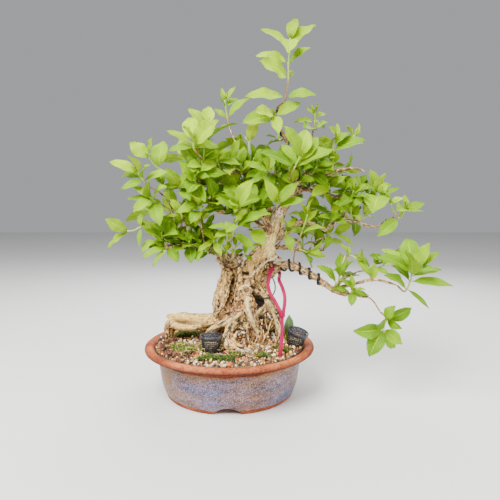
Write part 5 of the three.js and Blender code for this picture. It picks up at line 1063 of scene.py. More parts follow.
# Sprays: name, twig that carries it, then its shoot or a fork of two. A shoot is its path, then its pairs
# of leaves. A pair is its place along the path and two tips of [x, y, z, width].
sprays = [
    ("apex", None,
     [([[67, -2, 355], [69, -1, 368], [71, 0, 382], [71, 0, 399], [73, 0, 419], [73, 0, 428]],
       (0.05, [20, -18, 357, 0.45], [103, -10, 360, 0.45]), (0.37, [36, -24, 395, 0.66], [75, 14, 395, 0.5]),
       (0.6, [31, 14, 411, 0.45], [96, -14, 413, 0.45]), (0.86, [37, -6, 436, 0.45], [104, 8, 445, 0.45]),
       (0.97, [81, 10, 454, 0.5], [69, -27, 403, 0.6]))]),
    ("leader_mid", [[57, -3, 334], [56, -9, 334]],
     [([[56, -9, 334], [54, -18, 337]], (0.35, [16, -26, 325, 0.5], [86, 2, 354, 0.4]),
       (0.95, [30, -36, 337, 0.6], [58, -36, 312, 0.45]))]),
    ("leader_low", [[65, 2, 311], [64, 10, 310]],
     [([[64, 10, 310], [62, 20, 313]], (0.4, [44, 12, 303, 0.7], [83, 26, 324, 0.4]),
       (0.95, [46, 36, 319, 0.4], [68, 38, 334, 0.5]))]),
    ("crown_left", [[13, 0, 270], [14, 8, 289], [7, 6, 309], [0, 3, 326]],
     [([[0, 3, 326], [-3, 2, 343], [-5, 2, 357]], (0.3, [-18, 8, 348, 0.35], [25, -8, 357, 0.42]),
       (0.75, [-11, -12, 357, 0.4], [11, 14, 361, 0.5]), (0.97, [9, 0, 373, 0.35], [-9, 4, 372, 0.35]))]),
    ("front_crown", [[-27, -26, 284], [-34, -34, 290]],
     [([[-34, -34, 290], [-38, -42, 296], [-37, -47, 303]],
       (0.55, [-67, -44, 292, 0.36], [-10, -26, 298, 0.45]),
       (0.75, [-9, -54, 325, 0.6], [-69, -40, 315, 0.28]),
       (0.97, [-42, -34, 335, 0.6], [-46, -72, 315, 0.5])),
      ([[-34, -34, 290], [-27, -20, 305], [-25, -16, 318], [-25, -18, 326]],
       (0.5, [12, -24, 326, 0.42], [-61, -6, 314, 0.42]), (0.97, [-48, -8, 345, 0.4], [-24, 0, 345, 0.6]))]),
    ("left_top", [[-37, -18, 254], [-48, -14, 260], [-59, -12, 262]],
     [([[-59, -12, 262], [-73, -10, 270], [-86, -12, 277], [-94, -16, 288]],
       (0.62, [-79, 2, 309, 0.66], [-75, -30, 254, 0.5]),
       (0.97, [-117, -12, 305, 0.6], [-84, -38, 309, 0.4]))]),
    ("left_tip", [[-67, -14, 220], [-71, -14, 234], [-81, -18, 246], [-94, -20, 253]],
     [([[-94, -20, 253], [-99, -22, 260], [-105, -26, 270]],
       (0.4, [-124, -30, 250, 0.4], [-64, -38, 262, 0.4]),
       (0.55, [-130, -6, 266, 0.4], [-87, -44, 277, 0.45]),
       (0.97, [-139, -24, 282, 0.4], [-113, -44, 288, 0.62]))]),
    ("left_mid", [[-64, -12, 193], [-67, -14, 220], [-78, -18, 232]],
     [([[-78, -18, 232], [-86, -22, 235], [-91, -26, 241]],
       (0.6, [-108, -40, 223, 0.62], [-77, -44, 208, 0.5]),
       (0.7, [-120, -20, 239, 0.35], [-68, -44, 253, 0.55]),
       (0.97, [-114, -20, 254, 0.4], [-86, -50, 260, 0.6]))]),
    ("left_far", [[-80, -14, 191], [-96, -16, 197]],
     [([[-96, -16, 197], [-103, -18, 206], [-112, -20, 202], [-120, -22, 201]],
       (0.4, [-105, -26, 183, 0.3], [-107, -6, 222, 0.35]),
       (0.97, [-144, -26, 216, 0.52], [-146, -14, 180, 0.36]))]),
    ("left_low", [[-70, -12, 182], [-72, -18, 182]],
     [([[-72, -18, 182], [-75, -26, 181]], (0.4, [-59, -30, 165, 0.62], [-101, -6, 189, 0.45]),
       (0.95, [-101, -34, 169, 0.36], [-88, -38, 159, 0.22]))]),
    ("left_heart", [[-31, -1, 179], [-31, -14, 195], [-33, -28, 212]],
     [([[-33, -28, 212], [-33, -34, 226], [-34, -38, 234]],
       (0.6, [-49, -50, 232, 0.45], [-41, -52, 211, 0.6]), (0.8, [-60, -40, 228, 0.6], [-20, -18, 241, 0.45]),
       (0.97, [-39, -58, 243, 0.5], [-29, -34, 249, 0.4]))]),
    ("front_left", [[6, -20, 224], [9, -30, 226]],
     [([[9, -30, 226], [11, -40, 231]], (0.3, [40, -14, 241, 0.5], [-13, -50, 239, 0.42]),
       (0.6, [-21, -26, 249, 0.4], [-4, -12, 257, 0.5]),
       (0.95, [30, -56, 261, 0.48], [4, -72, 233, 0.45]))]),
    ("front_right", [[56, -8, 222], [57, -18, 228]],
     [([[57, -18, 228], [57, -28, 234]], (0.4, [90, -36, 238, 0.35], [31, -18, 231, 0.4]),
       (0.95, [41, -42, 261, 0.42], [82, -34, 258, 0.42]))]),
    ("front_low", [[8, -10, 163], [3, -28, 188]],
     [([[3, -28, 188], [6, -36, 201], [8, -44, 211]], (0.45, [-16, -50, 195, 0.4], [31, -50, 180, 0.34]),
       (0.75, [-22, -46, 206, 0.4], [49, -50, 222, 0.42]),
       (0.97, [24, -38, 229, 0.42], [0, -74, 202, 0.5]))]),
    ("front_dark", [[50, -4, 203], [40, -16, 206], [30, -26, 205]],
     [([[30, -26, 205], [27, -33, 204]], (0.9, [40, -42, 186, 0.85], [12, -16, 215, 0.5]))]),
    ("right_front", [[77, -4, 257], [72, -14, 261], [71, -24, 264]],
     [([[71, -24, 264], [77, -34, 276], [82, -40, 287]], (0.5, [36, -46, 291, 0.42], [122, -42, 294, 0.42]),
       (0.75, [61, -28, 301, 0.45], [104, -24, 310, 0.55]),
       (0.97, [61, -60, 318, 0.45], [89, -34, 318, 0.62]))]),
    ("crown_right", [[92, 6, 272], [95, 8, 296], [102, 8, 318]],
     [([[102, 8, 318], [104, 8, 332], [104, 8, 343]], (0.15, [88, -14, 322, 0.8], [118, -8, 329, 0.55]),
       (0.55, [78, 0, 330, 0.4], [117, 28, 327, 0.6]), (0.8, [91, -4, 347, 0.32], [119, 20, 344, 0.4]),
       (0.97, [100, 10, 353, 0.35], [108, 2, 353, 0.35]))]),
    ("right_top", [[126, 11, 270], [128, 12, 284], [128, 12, 294]],
     [([[128, 12, 294], [128, 10, 303], [131, 8, 312]], (0.2, [90, -10, 282, 0.42], [162, -14, 308, 0.42]),
       (0.6, [104, 28, 311, 0.5], [145, -8, 317, 0.45]), (0.97, [118, -12, 323, 0.6], [133, 16, 332, 0.35])),
      ([[128, 12, 294], [142, 22, 306], [150, 26, 312], [157, 26, 319]],
       (0.35, [139, 44, 318, 0.42], [173, 44, 311, 0.4]),
       (0.95, [145, 20, 330, 0.4], [163, 28, 334, 0.35]))]),
    ("right_mid", [[122, 18, 243], [123, 13, 249]],
     [([[123, 13, 249], [123, 8, 256]], (0.4, [101, 4, 263, 0.42], [144, -2, 267, 0.4]),
       (0.95, [99, -22, 249, 0.4], [122, 18, 274, 0.5]))]),
    ("right_upright", [[143, 12, 215], [147, 10, 229]],
     [([[147, 10, 229], [151, 7, 243], [153, 6, 250]], (0.5, [131, -22, 230, 0.4], [167, -18, 240, 0.35]),
       (0.7, [130, 22, 242, 0.45], [169, 6, 257, 0.42]), (0.97, [145, 4, 260, 0.35], [157, 2, 263, 0.4]))]),
    ("right_crest", [[180, 12, 230], [182, 12, 237]],
     [([[182, 12, 237], [185, 8, 245]], (0.35, [163, 2, 253, 0.45], [212, 10, 253, 0.25]),
       (0.95, [195, 12, 259, 0.6], [171, -20, 222, 0.85]))]),
    ("right_end", [[194, -4, 214], [200, -5, 217]],
     [([[200, -5, 217], [207, -8, 217], [212, -12, 227]], (0.25, [178, -14, 194, 0.45], [200, -22, 233, 0.5]),
       (0.8, [237, -6, 234, 0.42], [229, -26, 224, 0.25]),
       (0.97, [208, -14, 244, 0.6], [191, -44, 225, 0.45])),
      ([[200, -5, 217], [198, -3, 228], [197, -2, 234]],
       (0.95, [181, -8, 247, 0.55], [215, 10, 241, 0.45]))]),
    ("right_low_big", [[187, -40, 142], [195, -42, 140]],
     [([[195, -42, 140], [203, -46, 133], [208, -50, 146], [209, -54, 161]],
       (0.36, [228, -58, 115, 0.2], [173, -66, 155, 0.4]), (0.62, [252, -62, 142, 0.3], [193, -24, 161, 0.4]),
       (0.76, [249, -34, 156, 0.3], [190, -82, 183, 0.52]),
       (0.86, [164, -60, 174, 0.4], [225, -74, 166, 0.45]),
       (0.93, [176, -36, 186, 0.42], [239, -52, 179, 0.36]),
       (0.99, [200, -44, 197, 0.62], [225, -60, 191, 0.45]))]),
    ("right_low_top", [[151, -4, 146], [157, -5, 150]],
     [([[157, -5, 150], [169, 0, 151], [182, 3, 152], [193, 5, 157], [202, 2, 160], [207, 0, 164]],
       (0.7, [169, -14, 171, 0.45], [208, 26, 171, 0.5]),
       (0.97, [230, 14, 175, 0.5], [206, -14, 180, 0.45])),
      ([[169, 0, 151], [174, -4, 155], [179, -6, 160]], (0.5, [152, -4, 171, 0.5], [196, -14, 146, 0.42]),
       (0.95, [188, -2, 173, 0.5], [170, -24, 140, 0.42]))]),
    ("right_low_hang", [[130, -20, 131], [134, -18, 152], [140, -16, 171]],
     [([[140, -16, 171], [148, -18, 171], [153, -22, 168]], (0.2, [131, -24, 186, 0.4], [144, 2, 181, 0.4]),
       (0.95, [166, -30, 149, 0.5], [153, -42, 182, 0.45]))]),
    ("right_low_small", [[138, -21, 127], [143, -26, 126]],
     [([[143, -26, 126], [147, -33, 131]], (0.4, [121, -24, 133, 0.42], [166, -20, 121, 0.36]),
       (0.95, [143, -42, 115, 0.6], [129, -46, 146, 0.5]),
       (0.97, [157, -52, 136, 0.3], [149, -16, 143, 0.4]))]),
    ("right_low_tip", [[159, -22, 122], [167, -24, 122], [173, -26, 117], [180, -28, 106]],
     [([[180, -28, 106], [187, -31, 98], [184, -34, 89], [182, -37, 84]],
       (0.4, [218, -28, 110, 0.5], [168, -58, 96, 0.55]), (0.45, [194, -44, 116, 0.6], [201, -48, 90, 0.5]),
       (0.9, [145, -44, 86, 0.5], [205, -46, 75, 0.6]), (0.97, [164, -46, 56, 0.6], [200, -22, 59, 0.45]))]),
    ("inner_fork", [[78, -6, 160], [81, -12, 181]],
     [([[81, -12, 181], [88, -16, 202], [91, -19, 212], [93, -22, 221]],
       (0.4, [76, -38, 208, 0.4], [113, -28, 205, 0.5]), (0.75, [84, -4, 223, 0.45], [106, -18, 226, 0.4]),
       (0.97, [85, -26, 234, 0.4], [98, -32, 239, 0.4])),
      ([[81, -12, 181], [87, -14, 178], [94, -14, 175]], (0.5, [83, -26, 187, 0.5], [99, -22, 157, 0.75]),
       (0.95, [110, -28, 190, 0.42], [117, -8, 169, 0.45]))]),
    ("inner_mid", [[99, 24, 171], [108, 25, 184], [122, 22, 192]],
     [([[122, 22, 192], [133, 18, 196]], (0.4, [119, 6, 177, 0.42], [128, 28, 212, 0.5]),
       (0.95, [156, 12, 180, 0.36], [152, 8, 207, 0.5]))]),
    ("inner_top", [[122, 18, 201], [126, 12, 209]],
     [([[126, 12, 209], [131, 6, 217]], (0.4, [108, -4, 217, 0.45], [143, -8, 209, 0.45]),
       (0.95, [132, 18, 235, 0.45], [155, 22, 219, 0.4]))]),
    ("inner_trunk", [[58, 6, 180], [67, -6, 194]],
     [([[67, -6, 194], [70, -13, 202]], (0.5, [75, -18, 176, 0.5], [84, -24, 200, 0.45]),
       (0.95, [59, -26, 217, 0.45], [81, -6, 216, 0.5]))]),
    ("inner_left_high", [[-8, -10, 272], [-13, -18, 279]],
     [([[-13, -18, 279], [-13, -26, 286]], (0.4, [15, -36, 277, 0.45], [-33, -36, 272, 0.6]),
       (0.95, [-28, -8, 301, 0.45], [4, -34, 295, 0.45]))]),
    ("inner_left_front", [[52, 2, 267], [52, -12, 269], [49, -20, 270]],
     [([[49, -20, 270], [46, -32, 273]], (0.4, [28, -34, 256, 0.45], [51, -14, 290, 0.5]),
       (0.95, [22, -42, 277, 0.42], [39, -58, 283, 0.5]))]),
    ("inner_left_low", [[-14, -4, 167], [-18, -16, 182]],
     [([[-18, -16, 182], [-17, -22, 191]], (0.5, [-36, -30, 177, 0.36], [-7, -46, 174, 0.3]),
       (0.95, [-33, -10, 203, 0.45], [-6, -10, 202, 0.45]))]),
    ("inner_left_mid", [[-47, -4, 182], [-50, -14, 203], [-54, -22, 215]],
     [([[-54, -22, 215], [-56, -27, 224]], (0.4, [-76, -24, 218, 0.25], [-40, -6, 210, 0.55]),
       (0.95, [-68, -34, 239, 0.5], [-43, -20, 238, 0.4]))]),
    ("inner_left_top", [[-34, -19, 247], [-42, -24, 248], [-52, -24, 249]],
     [([[-52, -24, 249], [-57, -28, 254]], (0.4, [-79, -10, 247, 0.45], [-37, -50, 233, 0.42]),
       (0.95, [-66, -52, 264, 0.5], [-46, -34, 272, 0.5]))]),
    ("base_leaf", None,
     [([[72, 2, 48], [71, 0, 63], [72, -1, 74]], (0.9, [74, -4, 96, 0.5], [62, 4, 76, 0.4]))]),
]
# Behind the trunk: name, foot, ends of its two shoots, length of its leaves
backSprays = [
    ("back_left_high", [-31, 32, 266], [[-60, 44, 292], [-24, 58, 298]], 42),
    ("back_left_low", [-76, 34, 204], [[-106, 42, 222], [-84, 66, 222]], 42),
    ("back_middle", [25, 52, 277], [[24, 66, 316], [-8, 74, 290]], 40),
    ("back_middle_low", [1, 62, 219], [[-12, 88, 240], [-38, 74, 238]], 40),
    ("back_right", [108, 56, 259], [[122, 64, 290], [96, 86, 276]], 40),
    ("back_right_low", [117, 60, 200], [[146, 72, 216], [108, 92, 214]], 38),
]

whorl = {"sizes": (1, 0.85), "places": (0.5, 0.96), "spread": (66, 44), "width": 0.5}


def leaning(up, out, spread):
    return up * math.cos(spread) + out * math.sin(spread)


def whorlTips(path, k, size, angle):  # the tips of the k-th pair, turned a quarter from pair to pair
    line = Line([[*p, 1] for p in path])
    at, up = line.point(whorl["places"][k])[0], line.tangent(whorl["places"][k])[0]
    side = unit(np.cross((0, 0, 1), up))
    spread = math.radians(whorl["spread"][k])
    tips = []
    for half in (0, math.pi):
        out = turn(side, up, angle + k * math.pi / 2 + half)
        tips.append([*(at + size * whorl["sizes"][k] * leaning(up, out, spread)), whorl["width"]])
    return tips


for name, foot, ends, size in backSprays:
    shoots = []
    for i, end in enumerate(ends):
        middle = [0.45 * a + 0.55 * b + (3 if k == 2 else 0) for k, (a, b) in enumerate(zip(foot, end))]
        path = [foot, middle, end]
        shoots.append((path, *((place, *whorlTips(path, k, size, 0.5 + i))
                               for k, place in enumerate(whorl["places"]))))
    sprays.append((name, None, shoots))


# Stubs of old cuts in the fork: from, to, radius
cutStubs = [
    ([4, -5, 157], [11, -10, 172], 3.4), ([-2, -4, 160], [3, -13, 172], 2.8),
    ([11, -5, 156], [17, -8, 165], 2.2), ([5, -5, 158], [-5, -11, 166], 2.6),
    ([-5, -3, 160], [-15, -10, 166], 2.6), ([9, -6, 157], [7, -14, 165], 3),
    ([0, -6, 158], [9, -14, 160], 2.8), ([-9, -5, 161], [-8, -12, 157], 2.6),
    ([3, -10, 166], [-5, -12, 176], 1.8), ([9, -9, 168], [16, -12, 173], 1.7),
    ([-16, 1, 173], [-20, -6, 180], 2), ([-14, 2, 175], [-12, -4, 182], 1.8),
    ([-40, -2, 180], [-41, -5, 172], 2.6), ([-26, 1, 178], [-25, -3, 186], 1.8),
    ([-52, -2, 184], [-54, -6, 178], 2), ([50, -4, 160], [63, -8, 161], 2.4),
    ([84, -6, 155], [84, -9, 163], 1.6), ([106, -13, 143], [109, -15, 136], 1.5),
]


def branchesPiece():
    bm = bmesh.new()
    for k, name in enumerate(thinLimbs):
        line = limbLines[name]
        places = line.places(bark["branchStep"])
        barkTube(bm, line, places, line.radius(places) * 0.9, bark["branchAround"], 0.4, bark["seed"] + k)
    for k, (_, twig, _) in enumerate(sprays):
        if not twig:
            continue
        points = [rootedAt(twig[0]), *twig]
        if np.linalg.norm(points[0] - np.array(points[1])) < 0.8:
            points = points[1:]
        line = Line([[*p, 1.15 - 0.3 * i / (len(points) - 1)] for i, p in enumerate(points)])
        places = line.places(bark["branchStep"], 5)
        barkTube(bm, line, places, line.radius(places), 8, 0.5, bark["twigSeed"] + k)
    for k, (start, end, thick) in enumerate(cutStubs):
        middle = 0.5 * (np.array(start) + end) + (0.6, -0.8, 0)
        line = Line([[*start, thick], [*middle, thick * 0.8], [*end, thick * 1.05]])
        places = line.places(bark["branchStep"], 5)
        barkTube(bm, line, places, line.radius(places), 9, 0.4, bark["stubSeed"] + k, 0.22)
    closeSeams(bm)
    return bm


youngBark = furrowedBark("young flaking bark", "#cdb288", "#86663e", "#30221a")
finishPiece("branches_and_twigs", branchesPiece(), [youngBark], ["wood"])
print("branches done")


# Hair roots hang between the roots and lie on the soil, with straws of last year's grass on the moss
hairRoots = {"seed": 12, "barkSeed": 400, "hanging": 26, "straws": 80, "radius": (0.35, 0.8), "around": 6}


def hairRootsPiece():
    rng = random.Random(hairRoots["seed"])
    bm = bmesh.new()
    for k in range(hairRoots["hanging"] + hairRoots["straws"]):
        hanging = k < hairRoots["hanging"]
        if hanging:
            start = np.array([rng.uniform(28, 54), rng.uniform(-25, -17), rng.uniform(74, 104)])
            foot = np.array([start[0] + rng.gauss(-4, 5), start[1] - rng.uniform(4, 16), 0])
        else:
            start = np.array([rng.gauss(-42, 20), rng.uniform(-62, -18), 0])
            if rng.random() < 0.35:
                start[0] += 70
            foot = start + (rng.gauss(0, 9), rng.gauss(0, 4), 0)
            start[2] = soilTop(*start[:2]) + rng.uniform(2, 6)
        foot[2] = soilTop(*foot[:2]) + (-1 if hanging else rng.uniform(2, 5))
        if max(math.hypot(*start[:2]), math.hypot(*foot[:2])) > 88:
            continue
        sag = [rng.gauss(0, 4), rng.gauss(-1, 2), rng.gauss(0, 2) + (0 if hanging else 1.5)]
        middle = 0.5 * (start + foot) + sag
        thick = rng.uniform(*hairRoots["radius"]) * (1 if hanging else 0.8)
        line = Line([[*start, thick], [*middle, thick * 0.85], [*foot, thick * 0.6]])
        places = line.places(2, 6)
        barkTube(bm, line, places, line.radius(places), hairRoots["around"], 0.3, hairRoots["barkSeed"] + k)
    closeSeams(bm)
    return bm


rootSkin = furrowedBark("pale feeder roots and straw", "#ead09a", "#b58e58", "#6a4826")
finishPiece("hair_roots", hairRootsPiece(), [rootSkin])


# Grit caught between the roots, with one white pumice pebble
caught = {"seed": 9, "grains": 420, "x": (4, 56), "z": (66, 86), "from": -37, "deepest": -8, "foremost": -29,
          "pebble": (17.5, 79, 3), "pebbleTone": [0.9, 0.88, 0.82]}


def caughtGritPiece():
    rng = random.Random(caught["seed"])
    bm = bmesh.new()
    roots = bpy.data.objects["trunk_and_roots"]
    low, high = caught["z"]
    for k in range(caught["grains"]):
        x, z = rng.uniform(*caught["x"]), low + (high - low) * rng.random() ** 1.8
        radius = rng.uniform(0.8, 1.9)
        if k == 0:
            x, z, radius = caught["pebble"]
        hit, place, normal, _ = roots.ray_cast(Vector(toFrame((x, caught["from"], z))), Vector((0, 1, 0)))
        y = place.y * 1000 - potMiddle[1] * 1000
        if not hit or y > caught["deepest"] or k and (normal.y > -0.2 or y < caught["foremost"]):
            continue
        tone = None if k else caught["pebbleTone"]
        addStone(bm, rng, (x, y - (0.4 if k else 1) * radius, z), radius, tone)
    return bm


finishPiece("caught_grit", caughtGritPiece(), [grainMatter], smooth=False)


# Training wire: annealed aluminium, anodised black, wound by hand
windings = {  # limb, from, to (shares of its length), turns, radius in mm
    "wire_leader": ("leader", 0.3, 0.97, 4.5, 1),
    "wire_right_low": ("right4", 0.24, 0.64, 4.5, 1.4),
    "wire_right_top": ("right1", 0.2, 0.62, 3.5, 1),
    "wire_left_low": ("left1", 0.3, 0.9, 5, 1.1),
    "wire_left_high": ("left2", 0.2, 0.6, 3.5, 1.1),
}
coil = {"stepsPerTurn": 20, "around": 10, "cadSteps": 6, "phases": 36, "bite": 0.1}


def anodisedWire():
    # The anodised skin is a soft satin black; bending and pliers leave faint grey scuffs along it.
    made, add, here = startMaterial("black anodised aluminium", 0.38, Metallic=0.6)
    scuff = add("TexNoise", here, 240, 5, 0.7)
    colour = add("ValToRGB", scuff, stops=[(0.4, "#17171a"), (0.62, "#25252a"), (0.75, "#55555c")])
    worn = add("MapRange", scuff, 0, 1, 0.3, 0.5)
    return closeMaterial(made, colour, Roughness=worn)


blackAluminium = anodisedWire()


def helix(line, start, end, turns, radius, phase, steps, air):
    places = np.linspace(start, end, steps + 1)
    dense = np.linspace(0, 1, 240)
    side, other = (unit(np.stack([np.interp(places, dense, axis) for axis in normals.T], 1))
                   for normals in framesAlong(line.tangent(dense)))
    angle = phase + np.arange(steps + 1) / steps * turns * 2 * math.pi
    out = side * np.cos(angle)[:, None] + other * np.sin(angle)[:, None]
    return line.point(places) + (line.radius(places) + radius + air)[:, None] * out


def phaseOf(node, line, start, end, turns, radius):  # the phase that the solid's coil was wound from
    tree = treeOf(vectorsOf(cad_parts[node].data))
    steps = round(turns * coil["cadSteps"])
    air = 0.3 + line.radius(0.5)[0] * 0.15

    def miss(phase):
        route = toFrame(helix(line, start, end, turns, radius, phase, steps, air))
        return sum(tree.find(p)[2] for p in route)

    return min((k / coil["phases"] * 2 * math.pi for k in range(coil["phases"])), key=miss)


def wirePiece(route, radius):
    bm = bmesh.new()
    normals, binormals = framesAlong(unit(np.gradient(route, axis=0)))
    addSweep(bm, tubeRings(route, normals, binormals, np.full(len(route), radius), coil["around"]))
    closeSeams(bm)
    return bm


for node, (limbName, start, end, turns, radius) in windings.items():
    line = limbLines[limbName]
    phase = phaseOf(node, line, start, end, turns, radius)
    steps = round(turns * coil["stepsPerTurn"])
    route = helix(line, start, end, turns, radius, phase, steps, -coil["bite"])
    finishPiece(node + "_coil", wirePiece(route, radius), [blackAluminium], [node])

guyLine = Line([[53, -0.6, 142.5, 0.9], [56, -6, 135, 0.9], [55.6, -11, 127, 0.9], [51, -14.9, 120.5, 0.9],
                [45, -16.55, 119.5, 0.9], [38.5, -15.2, 119.5, 0.9]])
guyRoute = guyLine.point(np.linspace(0, 1, 48))
finishPiece("guy_wire_bent", wirePiece(guyRoute, 0.8), [blackAluminium], ["guy_wire"])

# Cable tie: toothed strap, moulded head
tie = {"head": (63, -37, 105), "headSize": (7, 6, 8), "width": 4.2, "thickness": 1.5, "tooth": 0.28,
       "step": 0.7,  # a tooth at every second step
       "loop": [[62, -37, 106], [55, -29, 118], [49, -23, 128], [47, -18, 139], [50, -11, 149],
                [53.6, -3.2, 158], [54.2, 4.8, 161.2], [56.9, 11, 158.4], [60.3, 12.8, 152.3],
                [62.6, 9.4, 145.9], [62.3, 1.6, 143.4], [61, -8, 140.5], [65, -16, 131], [67, -24, 122],
                [66, -31, 112], [64, -37, 105]],
       "tail": [[63, -37, 104], [62.5, -46, 83], [60.5, -53, 66], [59, -56, 52]],
       # its section, in halves of the thickness and of the width; the teeth are cut in one flat side
       "section": [(-1, -0.84), (-0.7, -1), (0.7, -1), (1, -0.84), (1, -0.55), (1, 0.55), (1, 0.84), (0.7, 1),
                   (-0.7, 1), (-1, 0.84), (-1, 0.55), (-1, -0.55)]}


def tiePiece():
    bm = bmesh.new()
    for route in (tie["loop"], tie["tail"]):
        line = Line([[*p, 1] for p in route])
        places = line.places(tie["step"])
        centres, tangents = line.point(places), line.tangent(places)
        # the strap lies flat on the branch
        binormals = unit(np.array([1, 0, 0]) - tangents * tangents[:, :1])
        normals = np.cross(binormals, tangents)
        rings = []
        for k, centre in enumerate(centres):
            notch = tie["tooth"] if k % 2 else 0
            ring = [(x * tie["thickness"] / 2 - (notch if x > 0.9 and abs(y) < 0.6 else 0), y)
                    for x, y in tie["section"]]
            rings.append([centre + normals[k] * x + binormals[k] * y * tie["width"] / 2 for x, y in ring])
        rings = np.array(rings)
        first, last = (np.tile(ring.mean(0), (1, len(tie["section"]), 1)) for ring in (rings[0], rings[-1]))
        addSweep(bm, np.concatenate([first, rings, last]))
    closeSeams(bm)
    head = bmesh.ops.create_cube(bm, size=0.001)
    bmesh.ops.scale(bm, vec=tie["headSize"], verts=head["verts"])
    bmesh.ops.translate(bm, vec=Vector(toFrame(tie["head"])), verts=head["verts"])
    edges = list({e for v in head["verts"] for e in v.link_edges})
    bmesh.ops.bevel(bm, geom=edges, offset=0.0009, affect="EDGES", segments=3, profile=0.5, material=-1)
    return bm


def nylon():
    # Moulded nylon in a clear pink dye: smooth, a little waxy, paler where it is thin or stretched.
    made, add, here = startMaterial("dyed nylon", 0.42, **{"Specular IOR Level": 0.15})
    cloud = add("TexNoise", here, 90, 3)
    colour = add("ValToRGB", cloud, stops=[(0.3, "#84003a"), (0.6, "#98003e"), (0.8, "#a80048")])
    fine = add("TexNoise", here, 1800, 2)
    tooth = add("Bump", Strength=0.15, Distance=0.0001, Height=fine)
    return closeMaterial(made, colour, Normal=tooth)


finishPiece("cable_tie_strap", tiePiece(), [nylon()], ["cable_tie"], crease=35)
print("wires and tie done")


# Leaves. A blade is one closed skin: upper side, edge with teeth, lower side. Its UV map has U across and
# V from petiole to tip on both sides.

leaf = {"large": (6, 32), "small": (4, 18), "longLeaf": 30, "thickness": 0.42, "petiole": 0.55,
        "petioleEnd": 0.06, "tooth": 0.045, "quilt": 0.16, "veins": 8, "turnToLight": 0.85, "mostTurn": 1.1,
        "frontLean": (-0.8, -1.7), "backLean": 0.6, "crownMiddle": 25, "leanHeights": (190, 330),
        "tipGap": 0.0004, "tipSlack": 2e-5, "seed": 20117, "toneSeed": 1000}
shoot = {"radius": 1.5, "tipRadius": 1.2, "jointHalf": 0.8, "gap": 1.1, "fork": 4, "slim": 0.72, "step": 1.5,
         "around": 8}


@cache
def bladeTemplate(across, along):
    mesh = gridOf(2 * across, along).copy()
    uv = np.zeros(len(mesh.loops) * 2, np.float32)
    mesh.uv_layers[0].data.foreach_get("uv", uv)
    uv = uv.reshape(-1, 2)
    lower = uv[:, 0].reshape(-1, 4).mean(1) > 0.5
    mesh.polygons.foreach_set("material_index", lower.astype(np.int32))
    uv[:, 0] = 1 - np.abs(2 * uv[:, 0] - 1)
    mesh.uv_layers[0].data.foreach_set("uv", uv.ravel())
    ends = np.zeros(len(mesh.edges) * 2, np.int32)
    mesh.edges.foreach_get("vertices", ends)
    column = ends.reshape(-1, 2) % (2 * across + 1)
    rim = (column[:, 0] % across == 0) & (column[:, 0] == column[:, 1]) & (column[:, 0] % (2 * across) == 0)
    rim |= (column == across).all(1)
    sharp = mesh.attributes.new("sharp_edge", "BOOLEAN", "EDGE")
    sharp.data.foreach_set("value", rim)
    return mesh


def parkMiller(state):
    while True:
        state = state * 16807 % 2147483647
        yield state / 2147483647


def leafFrame(base, tip, stem, twist):
    chord = unit(tip - base)
    own = unit(stem - chord * (stem @ chord))
    lean = np.interp(base[2], leaf["leanHeights"], leaf["frontLean"])  # high leaves also show their tops
    lit = np.array([0, lean if base[1] < leaf["crownMiddle"] else leaf["backLean"], 1])
    lit = unit(lit - chord * (lit @ chord))
    full = math.atan2(chord @ np.cross(own, lit), own @ lit)
    most = leaf["mostTurn"] if base[2] > 80 else math.pi  # the old leaf at the base looks to the front
    angle = max(-most, min(most, leaf["turnToLight"] * full)) + twist
    top = turn(own, chord, angle)
    return chord, top, np.cross(top, chord), np.linalg.norm(tip - base)


def leafPoints(base, tip, stem, width, form, across, along):
    chord, top, left, length = leafFrame(base, tip, stem, form["twist"])
    half = 0.5 * width * length
    t = np.linspace(0, 1, along + 1)
    v = np.clip((t - leaf["petioleEnd"]) / (1 - leaf["petioleEnd"]), 0, 1)
    blade = np.sin(math.pi * v**0.84) ** 0.86 * (1 - 0.28 * np.clip((v - 0.72) / 0.28, 0, 1) ** 1.5)
    teeth = leaf["tooth"] * half * np.where(np.arange(along + 1) % 2, 1, -1) * np.clip(v * 6, 0, 1)
    teeth = teeth * np.clip((1 - v) * 8, 0, 1)
    petiole = leaf["petiole"] * np.clip(1 - v * 5, 0, 1)
    wide = np.maximum(half * blade + teeth, petiole)
    wide[-1] = 0
    s = np.concatenate([np.linspace(1, -1, across + 1), np.linspace(-1, 1, across + 1)[1:]])
    lower = np.arange(2 * across + 1) > across
    slope = np.arctan(4 * form["bow"] * (1 - 2 * t))
    out = top * np.cos(slope)[:, None] - chord * np.sin(slope)[:, None]
    size = s[None, :] * wide[:, None]
    rise = np.abs(size) * math.sin(form["fold"])
    waves = np.sin(2 * math.pi * (2.4 * t[:, None] + 0.3 * np.sign(s)) + 40 * form["bow"])
    rise += form["wave"] * half * waves * s**2 * np.clip(v * 4, 0, 1)[:, None]
    vein = np.cos(2 * math.pi * (leaf["veins"] * v[:, None] - 2.2 * np.abs(s)))
    rise -= leaf["quilt"] * length / 40 * vein * (1 - s**2) * np.abs(s) ** 0.5 * (v * (1 - v) * 4)[:, None]
    body = leaf["thickness"] + np.clip(1 - v * 6, 0, 1) * leaf["petiole"]
    rise -= np.where(lower, 1, 0) * body[:, None] * np.sqrt(np.clip(1 - s**2, 0, 1))
    forward = t * length + np.where(np.arange(along + 1) % 2, 0.35, 0) * length / along
    forward = np.where((np.abs(s) > 0.9)[None, :], forward[:, None], (t * length)[:, None])
    forward[-1] = length
    rise[-1] = 0
    points = base + chord * forward[..., None] + top * (4 * form["bow"] * length * t * (1 - t))[:, None, None]
    points = points + left * (size * math.cos(form["fold"]))[..., None] + out[:, None] * rise[..., None]
    points[0] = points[0].mean(0)
    return points.reshape(-1, 3)


